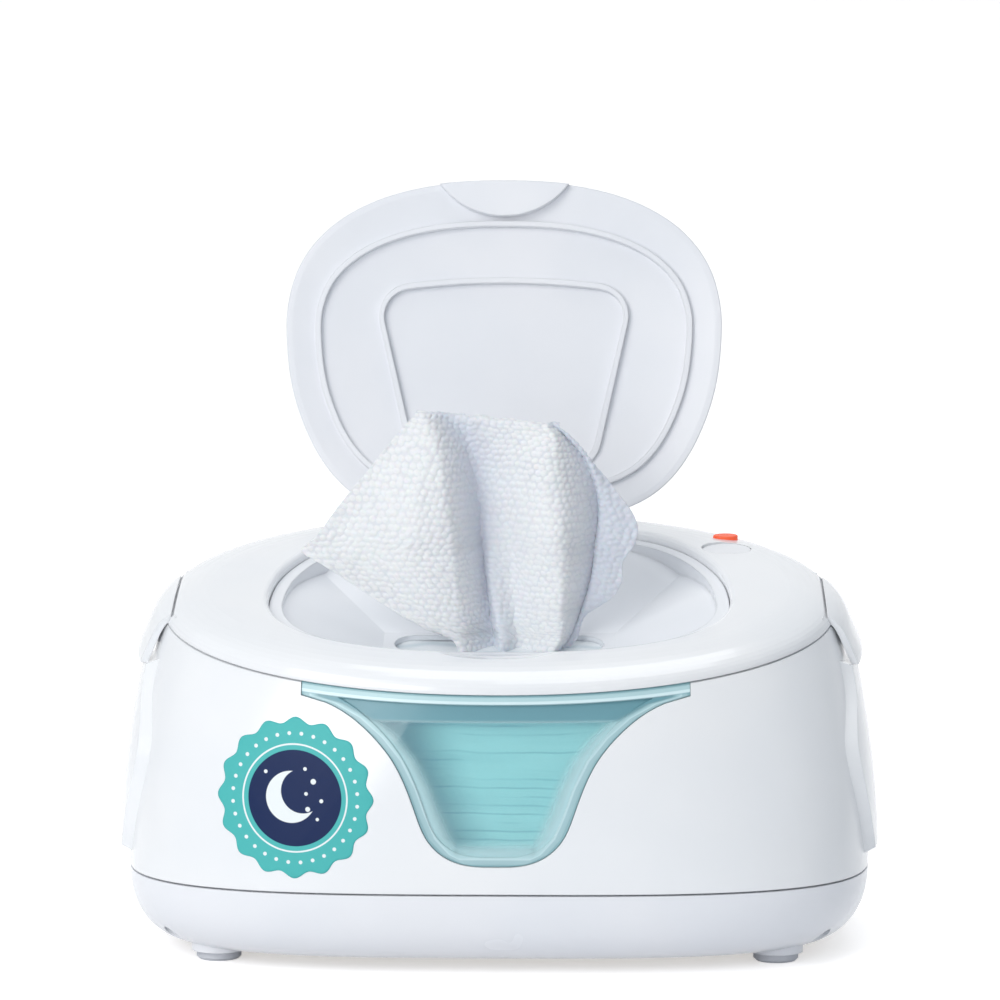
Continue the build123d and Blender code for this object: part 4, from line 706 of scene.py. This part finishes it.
wipe_rows = []
for r in range(ROWS):
    top = max(0.0, (r / (ROWS - 1) - TOP_STARTS) / (1 - TOP_STARTS)) ** 2
    row = [wipe_place(c / (COLUMNS - 1), row_height(r)) for c in range(COLUMNS)]
    for c, place in enumerate(row):
        ripple = noise.noise(Vector((c * 0.035, 3.0, 1.0)))
        place.z -= top * (TOP_DROP * (c / COLUMNS) + 0.9 * ripple)
    wipe_rows.append(row)
for step in range(1, CURL_ROWS + 1):
    turn = 0.5 * math.pi * step / CURL_ROWS
    bend = Vector((0.0, 2.6 * (1 - math.cos(turn)) + 0.2 * step, 1.1 * math.sin(turn)))
    wipe_rows.append([place + bend for place in wipe_rows[ROWS - 1]])
print("rows of the wipe:", len(wipe_rows), "of", COLUMNS, "points")

# %% [markdown]
# Embossed pebbles sit in staggered rows, each a little out of line. The pattern belongs to the flat
# cloth, so it is measured along the cloth, to each side of the left ridge and up along it: that
# keeps the pebbles round on a panel that stands at a slant.

# %% Pebbles, and the painted shade of the folds
PEBBLE, PEBBLE_HEIGHT = 2.5, 0.45
# How much painted shade each line of the wipe gets, from left to right.
FOLD_SHADE_SHARES = [0, 0.1, 1.0, 0.7, 0.3, 0, 0.8, 1.0, 0.9]


def pebbles(u, v):
    """Height, from 0 to 1, of the pattern at a place on the flat cloth, in pebbles."""
    row = math.floor(v)
    best = 4.0
    for j in (row - 1, row, row + 1):
        offset = 0.5 * (j % 2)
        column = math.floor(u - offset)
        for i in (column - 1, column, column + 1):
            random.seed(1000 * j + i)
            du = u - offset - i - random.uniform(0.28, 0.72)
            dv = v - j - random.uniform(0.28, 0.72)
            best = min(best, du * du + 1.2 * dv * dv)
    return max(0.0, 1.0 - best / 0.26) ** 0.7


def ridge_column(height):
    """Column of the grid that runs along the left ridge at a height."""
    left, ridge, right = (curve_through(line, height) for line in (EDGE_LEFT, RIDGE_LEFT, EDGE_FAR))
    return (ridge - left) / (right - left) * (COLUMNS - 1)


raised, pebble_heights, damp = [], [], []
climb = 0.0
for r, row in enumerate(wipe_rows):
    below, above = wipe_rows[max(r - 1, 0)], wipe_rows[min(r + 1, len(wipe_rows) - 1)]
    along = [0.0]
    for c in range(1, COLUMNS):
        along.append(along[-1] + (row[c] - row[c - 1]).length)
    ridge = ridge_column(min(row_height(r), HIGH_END))
    whole = int(ridge)
    start = along[whole] + (ridge - whole) * (along[whole + 1] - along[whole])
    climb += (row[whole] - below[whole]).length
    fold_shade_keys = list(zip(lines_at(min(row_height(r), LINES_TOP)), FOLD_SHADE_SHARES))
    for c, place in enumerate(row):
        out = (row[min(c + 1, COLUMNS - 1)] - row[max(c - 1, 0)]).cross(above[c] - below[c])
        pebble_heights.append(pebbles((along[c] - start) / PEBBLE, climb / PEBBLE))
        damp.append(curve_through(fold_shade_keys, place.x))
        raised.append((place + out.normalized() * PEBBLE_HEIGHT * pebble_heights[-1]) * MM)
print("cloth up the left ridge:", round(climb), "mm")

# %% [markdown]
# The points become a mesh, which gets its thickness from a Solidify modifier. The wipe rides with
# the cover, whose slot holds it, and stands for the plain solid of the CAD model. When the lid
# closes, the real cloth crumples under it.

# %% The pulled wipe
CLOTH_THICKNESS, WIPE_WIDTH = 0.45 * MM, 0.150
uv = [(c / (COLUMNS - 1), r / (len(wipe_rows) - 1)) for r in range(len(wipe_rows))
      for c in range(COLUMNS)]
pulled_wipe = mesh_piece("wipe_pulled", raised, grid_faces(len(wipe_rows), COLUMNS), wipe_cloth, uv)
for name, values in (("pebble", pebble_heights), ("damp", damp)):
    pulled_wipe.data.attributes.new(name, "FLOAT", "POINT").data.foreach_set("value", values)
thicken = pulled_wipe.modifiers.new("cloth", "SOLIDIFY")
thicken.thickness = CLOTH_THICKNESS
thicken.offset = 0.0
apply_modifiers(pulled_wipe)
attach(pulled_wipe, "cover")
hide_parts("pulled_wipe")
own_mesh(pulled_wipe)

# %% [markdown]
# The refill in the tub is a pack of folded wipes. Through the window it reads as fine wavy lines,
# one for each fold. A box with a striped texture would give the lines but not their soft shadows,
# so the pack is a closed form whose side swells at each fold and draws in between.

# %% Side of the folded wipes
STACK_LOW, STACK_HIGH = 35.0, 80.0
STACK_HALF_X, STACK_FRONT, STACK_BACK = 75.2, -63.4, 57.4
FOLD_PITCH, RINGS_PER_FOLD, STACK_STEPS = 2.25, 6, 220
SQUARENESS = 7


def stack_outline(at):
    """Point on a rounded rectangle, and the direction out of it, at a share of the way round."""
    half_y = (STACK_BACK - STACK_FRONT) / 2
    c, s = math.cos(2 * math.pi * at), math.sin(2 * math.pi * at)
    reach = (abs(c / STACK_HALF_X) ** SQUARENESS + abs(s / half_y) ** SQUARENESS) ** (-1 / SQUARENESS)
    return Vector((reach * c, reach * s + (STACK_BACK + STACK_FRONT) / 2, 0)), Vector((c, s, 0))


folds = int((STACK_HIGH - STACK_LOW) / FOLD_PITCH)
rings = folds * RINGS_PER_FOLD + 1
stack_points = []
for ring in range(rings):
    layer, phase = ring // RINGS_PER_FOLD, (ring % RINGS_PER_FOLD) / RINGS_PER_FOLD
    share = ring / (rings - 1)
    for step in range(STACK_STEPS):
        place, out = stack_outline(step / STACK_STEPS)
        uneven = noise.noise(Vector((place.x * 0.03, place.y * 0.03, layer * 0.7)))
        drawn_in = 2.6 - 1.5 * math.sin(math.pi * phase) ** 0.6 - 0.9 * uneven
        wave = 1.5 * noise.noise(Vector((place.x * 0.022, place.y * 0.022, share * 1.8)))
        height = STACK_LOW + (STACK_HIGH - STACK_LOW) * share + wave * math.sin(math.pi * share)
        stack_points.append((place - out * drawn_in + Vector((0, 0, height))) * MM)
print("side of the stack:", folds, "folds,", len(stack_points), "points")

# %% [markdown]
# The next wipe is drawn up towards the slot by the one that stands in it, so the top of the stack
# rises there in a soft peak. It is made by rings that shrink towards the middle, each point lifted
# by how near it is to the slot, and closed with one face.

# %% Top of the folded wipes
TOP_RINGS = 46
SLOT_Y, PEAK_HALF_X, PEAK_HALF_Y, PEAK_DROP = -11.0, 36.0, 9.0, 11.8


def peak_share(spot):
    """1 right under the slot, and down to 0 away from it."""
    aside = max(0.0, abs(spot.x) - PEAK_HALF_X) / 26.0
    deep = max(0.0, abs(spot.y - SLOT_Y) - PEAK_HALF_Y) / 24.0
    return max(0.0, 1.0 - math.hypot(aside, deep)) ** 1.3


def peak_level(spot):
    """Height of the peak: a little under the sloping slot, with soft folds along it."""
    fold = 0.7 * noise.noise(Vector((spot.x * 0.12, spot.y * 0.1, 9.0)))
    slope = (spot.y + PEAK_DROP * math.sin(TILT)) * math.tan(TILT) - PEAK_DROP * math.cos(TILT)
    return RIM_Z / MM + slope + 0.6 * fold - 0.4


stack_faces = grid_faces(rings, STACK_STEPS, closed=True)
first = (rings - 1) * STACK_STEPS
middle = Vector((0, (STACK_BACK + STACK_FRONT) / 2, 0))
for ring in range(1, TOP_RINGS + 1):
    inward = 1 - (ring / (TOP_RINGS + 1)) ** 1.2
    for step in range(STACK_STEPS):
        edge = stack_points[first + step] / MM
        spot = middle + (Vector((edge.x, edge.y, 0)) - middle) * inward
        rumple = 0.8 * noise.noise(Vector((spot.x * 0.05, spot.y * 0.05, 4.0)))
        level = STACK_HIGH - 0.6 + rumple * 0.7
        level += (peak_level(spot) - level) * peak_share(spot)
        stack_points.append(Vector((spot.x, spot.y, level)) * MM)
stack_faces += [tuple(first + point for point in face)
                for face in grid_faces(TOP_RINGS + 1, STACK_STEPS, closed=True)]
stack_faces.append(tuple(first + TOP_RINGS * STACK_STEPS + step for step in range(STACK_STEPS)))
stack_faces.append(tuple(reversed(range(STACK_STEPS))))
print("whole stack:", len(stack_points), "points,", len(stack_faces), "faces")

# %% [markdown]
# The folded wipes are the same cloth, seen through the window and in the open tub. They lie too
# deep for pebbles to show, so a fine bump and a line of painted cool shade in each fold are enough.

# %% The folded wipes
def stacked_cloth(place):
    """The same wet cloth, with a painted blue-green shade in each fold."""
    fibres = place.clouds(0.8 * MM, 3.0)
    drift = 2.2 * place.stretch(1, 1, 0.4).clouds(40 * MM)
    fold = (place.axis("Z") / (FOLD_PITCH * MM) + drift).maths("FRACT")
    line = (fold - 0.5).maths("ABSOLUTE").ramp(0.2, 0.5)
    # Painted shade in each fold, mixed with the fibres' own tone.
    crease_shade_and_fibres = 0.7 * line + 0.3 * fibres
    return {"Base Color": crease_shade_and_fibres.tint(painted(236, 240, 243), painted(204, 216, 222)),
            "Roughness": 0.7 + 0.2 * fibres,
            "Normal": place.node("Bump", (), {"Strength": 0.4, "Distance": 0.1 * MM,
                                              "Height": fibres})}


stack_cloth = material("wipe_stack_cloth", stacked_cloth, IOR=1.4)
folded = mesh_piece("wipes_folded", stack_points, stack_faces, stack_cloth)
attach(folded, "base")
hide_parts("wipe_stack")
print("folded wipes:", len(folded.data.polygons), "faces, riding on the base")

# %% [markdown]
# A round sticker with a scalloped edge sits on the front, left of the window. Pasted film follows
# the shell under it, so its points are laid out flat, then dropped along the depth onto the shell.
# A flat disc laid on top would float at its rim or sink in the middle.

# %% Shape of the scalloped sticker
BADGE_X, BADGE_Z = -66.0, 59.6
BADGE_REACH, SCALLOP_DEPTH, SCALLOPS = 25.2, 0.95, 16
BADGE_RINGS, BADGE_STEPS = 40, 320
FILM, FILM_FOOT, ROUND_EDGE = 0.22, 0.02, 0.985
BEFORE_FRONT = -0.2

shell_mesh = nodes["body_shell"].data
shell_tree = BVHTree.FromPolygons([v.co for v in shell_mesh.vertices],
                                  [tuple(p.vertices) for p in shell_mesh.polygons])


def on_front(x, z, proud):
    """Place on the outside of the front, in metres, from millimetres."""
    hit, normal, _, _ = shell_tree.ray_cast(Vector((x * MM, BEFORE_FRONT, z * MM)), Vector((0, 1, 0)))
    return hit + Vector((normal.x, -abs(normal.y), normal.z)).normalized() * proud * MM


badge_points, badge_uv = [], []
for ring in range(BADGE_RINGS + 2):
    outward = min(ring, BADGE_RINGS) / BADGE_RINGS
    rounded = 0.5 * max(0.0, outward - ROUND_EDGE) / (1 - ROUND_EDGE)
    proud = FILM_FOOT if ring > BADGE_RINGS else FILM * (1 - rounded)
    for step in range(BADGE_STEPS):
        angle = 2 * math.pi * step / BADGE_STEPS
        reach = BADGE_REACH + SCALLOP_DEPTH * math.cos(SCALLOPS * angle) * outward ** 3
        reach *= 0.02 + 0.98 * outward
        x, z = reach * math.cos(angle), reach * math.sin(angle)
        badge_points.append(on_front(BADGE_X + x, BADGE_Z + z, proud))
        badge_uv.append((x, z))
badge_faces = grid_faces(BADGE_RINGS + 2, BADGE_STEPS, closed=True)
badge_faces.append(tuple(reversed(range(BADGE_STEPS))))
print("sticker:", len(badge_points), "points, reach", BADGE_REACH, "mm")

# %% [markdown]
# The print is a plain pattern of its own: a crescent moon and stars on navy, and small white dots
# round the teal rim. An image would do, but shapes drawn by distances stay sharp at any size: a
# spot is where the distance to its middle is small, and the moon is one spot less another.

# %% Print on the sticker
NAVY, TEAL, PRINT_WHITE = painted(24, 42, 84), painted(84, 188, 186), painted(240, 246, 247)
DISC, RIM_LINE, RIM_LINE_WIDTH = 15.6, 17.4, 0.55
DOT_CIRCLE, DOTS, DOT_SIZE = 20.9, 32, 0.62
# Each spot is its middle, across and up, and its radius, in mm.
MOON, MOON_BITE = (-1.2, 0.4, 8.4), (2.6, 2.4, 7.2)
STARS = [(6.2, 5.6, 0.9), (8.9, -0.6, 0.65), (4.4, -3.4, 0.8), (7.6, -6.6, 0.55), (3.4, 9.6, 0.6),
         (3.8, 1.6, 0.6), (-9.8, 8.2, 0.6)]
BLUR = 0.12


def printed_badge(place):
    """Teal rim with dots, a thin white ring, and a navy disc with a moon and stars."""
    flat = place.node("UVMap", {"uv_map": "flat"})
    x, z = flat.axis("X"), flat.axis("Y")

    def spot(cx, cz, radius):
        far = ((x - cx) * (x - cx) + (z - cz) * (z - cz)).maths("SQRT")
        return 1.0 - far.ramp(radius - BLUR, radius + BLUR)

    def ring(radius, width):
        far = ((x * x + z * z).maths("SQRT") - radius).maths("ABSOLUTE")
        return 1.0 - far.ramp(width / 2 - 0.1, width / 2 + 0.1)

    def dots(radius, count, size):
        turn = z.maths("ARCTAN2", x) * (count / (2 * math.pi))
        aside = (turn.maths("FRACT") - 0.5) * (2 * math.pi * radius / count)
        out = (x * x + z * z).maths("SQRT") - radius
        return 1.0 - (aside * aside + out * out).maths("SQRT").ramp(size - BLUR, size + BLUR)

    white = spot(*MOON) * (1.0 - spot(*MOON_BITE)) + ring(RIM_LINE, RIM_LINE_WIDTH)
    white = white + dots(DOT_CIRCLE, DOTS, DOT_SIZE)
    for star in STARS:
        white = white + spot(*star)
    field = spot(0.0, 0.0, DISC).tint(TEAL, NAVY)
    return {"Base Color": white.maths("MINIMUM", 1.0).tint(field, PRINT_WHITE),
            "Roughness": 0.3 + 0.12 * place.clouds(9 * MM),
            "Normal": place.node("Bump", (), {"Strength": 0.3, "Distance": 0.02 * MM,
                                              "Height": place.clouds(1.2 * MM)})}


badge_film = material("badge_print", printed_badge, IOR=1.22)
badge = mesh_piece("round_sticker", badge_points, badge_faces, badge_film, badge_uv)
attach(badge, "base")
print("print:", len(STARS), "stars,", DOTS, "dots")

# %% [markdown]
# The set is a product table: a pale floor that curves up into a backdrop under an even sky. Both
# look white to the camera, and to gloss and clear plastic, through Light Path, so no lamp has to
# burn them out, and the floor still takes the soft shadow of the warmer. A white picture behind
# the object would be simpler, but then the warmer would seem to hang in the air.

# %% Floor and backdrop
def seen_directly(tree):
    """1 for the rays that should meet a white set, and 0 for the rays that carry its light."""
    rays = [Flow(tree).node("LightPath", output=ray)
            for ray in ("Is Camera Ray", "Is Glossy Ray", "Is Transmission Ray")]
    return (rays[0] + rays[1] + rays[2]).maths("MINIMUM", 1.0)


def paper(place):
    """Matt white paper with a fine tooth; its faint warm glow evens out the cool sky."""
    tooth = place.clouds(3 * MM, 4.0)
    return {"Base Color": tooth.tint(painted(236, 237, 239), painted(231, 232, 235)),
            "Roughness": 0.75 + 0.1 * tooth,
            "Emission Color": seen_directly(place.tree).tint((0, 0, 0, 1), (1.0, 0.97, 0.93, 1))}


floor_paper = material("floor_paper", paper, Emission_Strength=0.53)
# The sweep, seen from the side, as (depth, height) in metres.
SWEEP = [(-4.0, 0.0), (0.9, 0.0), (1.25, 0.02), (1.6, 0.09), (1.9, 0.22), (2.1, 0.42),
         (2.2, 0.7), (2.22, 1.2), (2.22, 3.4)]
SWEEP_HALF = 5.0
floor_points = [Vector((x, y, z)) for y, z in SWEEP for x in (-SWEEP_HALF, SWEEP_HALF)]
floor = mesh_piece("floor", floor_points, grid_faces(len(SWEEP), 2), floor_paper)
smoother = floor.modifiers.new("sweep", "SUBSURF")
smoother.subdivision_type = "SIMPLE"
smoother.levels = smoother.render_levels = 1

SKY_LIGHT = 0.40
world = bpy.data.worlds.new("white_studio")
bpy.context.scene.world = world
world.use_nodes = True
sky = world.node_tree.nodes["Background"]
seen = seen_directly(world.node_tree)
for socket, flow in (("Strength", SKY_LIGHT + (1.0 - SKY_LIGHT) * seen),
                     ("Color", seen.tint((0.86, 0.93, 1.0, 1.0), (1.0, 1.0, 1.0, 1.0)))):
    world.node_tree.links.new(flow.socket, sky.inputs[socket])
print("floor:", len(floor_points), "points, sky strength", SKY_LIGHT)

# %% [markdown]
# White plastic needs soft light with a clear direction, or its curves go flat. One large lamp at
# the front left does most of the work, a small card lifts the front, a wide lamp overhead lights
# the cover, and two weak ones keep the right side and the back from going grey. The one behind is
# hidden from gloss, because its reflection would run across the cover.

# %% Lamps
LOOK_AT = Vector((0, 0, 0.1))


def soft_lamp(name, place, width, height, watts, colour=(1, 1, 1), target=LOOK_AT):
    """Square soft light that faces its target."""
    light = bpy.data.lights.new(name, "AREA")
    light.shape = "RECTANGLE"
    light.size, light.size_y = width, height
    light.energy = watts
    light.color = colour
    lamp = bpy.data.objects.new(name, light)
    bpy.context.scene.collection.objects.link(lamp)
    lamp.location = place
    lamp.rotation_euler = (target - Vector(place)).to_track_quat("-Z", "Y").to_euler()
    return lamp


soft_lamp("key_lamp", (-1.15, -1.5, 1.25), 1.3, 1.1, 19.2, colour=(1.0, 0.985, 0.96))
soft_lamp("front_card", (-0.60, -1.28, 0.34), 0.5, 0.5, 2.8, target=Vector((0, 0, 0.08)))
soft_lamp("top_lamp", (0.25, 0.1, 1.7), 1.4, 1.0, 7.5)
soft_lamp("side_lamp", (1.5, -0.5, 0.9), 0.7, 1.1, 0.4, colour=(0.96, 0.98, 1.0))
back_lamp = soft_lamp("back_lamp", (0.5, 1.7, 0.9), 1.0, 0.8, 3.5)
back_lamp.visible_glossy = False

# %% [markdown]
# The picture is taken with a long lens from a little above the table, which keeps the sides of
# the warmer nearly parallel. The camera stands a hand's breadth to the right of the middle.

# %% Camera
EYE = Vector((0.030, -1.500, 0.2951))
LOOK_DOWN = math.radians(5.5)
SENSOR, LENS_PER_SENSOR = 36.0, 4.3582
camera_data = bpy.data.cameras.new("camera")
camera_data.sensor_width = SENSOR
camera_data.sensor_fit = "HORIZONTAL"
camera_data.lens = SENSOR * LENS_PER_SENSOR
camera_data.clip_start, camera_data.clip_end = 0.05, 20.0
camera = bpy.data.objects.new("camera", camera_data)
bpy.context.scene.collection.objects.link(camera)
camera.location = EYE
camera.rotation_euler = Euler((math.pi / 2 - LOOK_DOWN, 0.0, math.atan2(EYE.x, -EYE.y)))
bpy.context.scene.camera = camera
bpy.context.scene.view_settings.view_transform = "Standard"
print("camera lens:", round(camera_data.lens), "mm")

# %% [markdown]
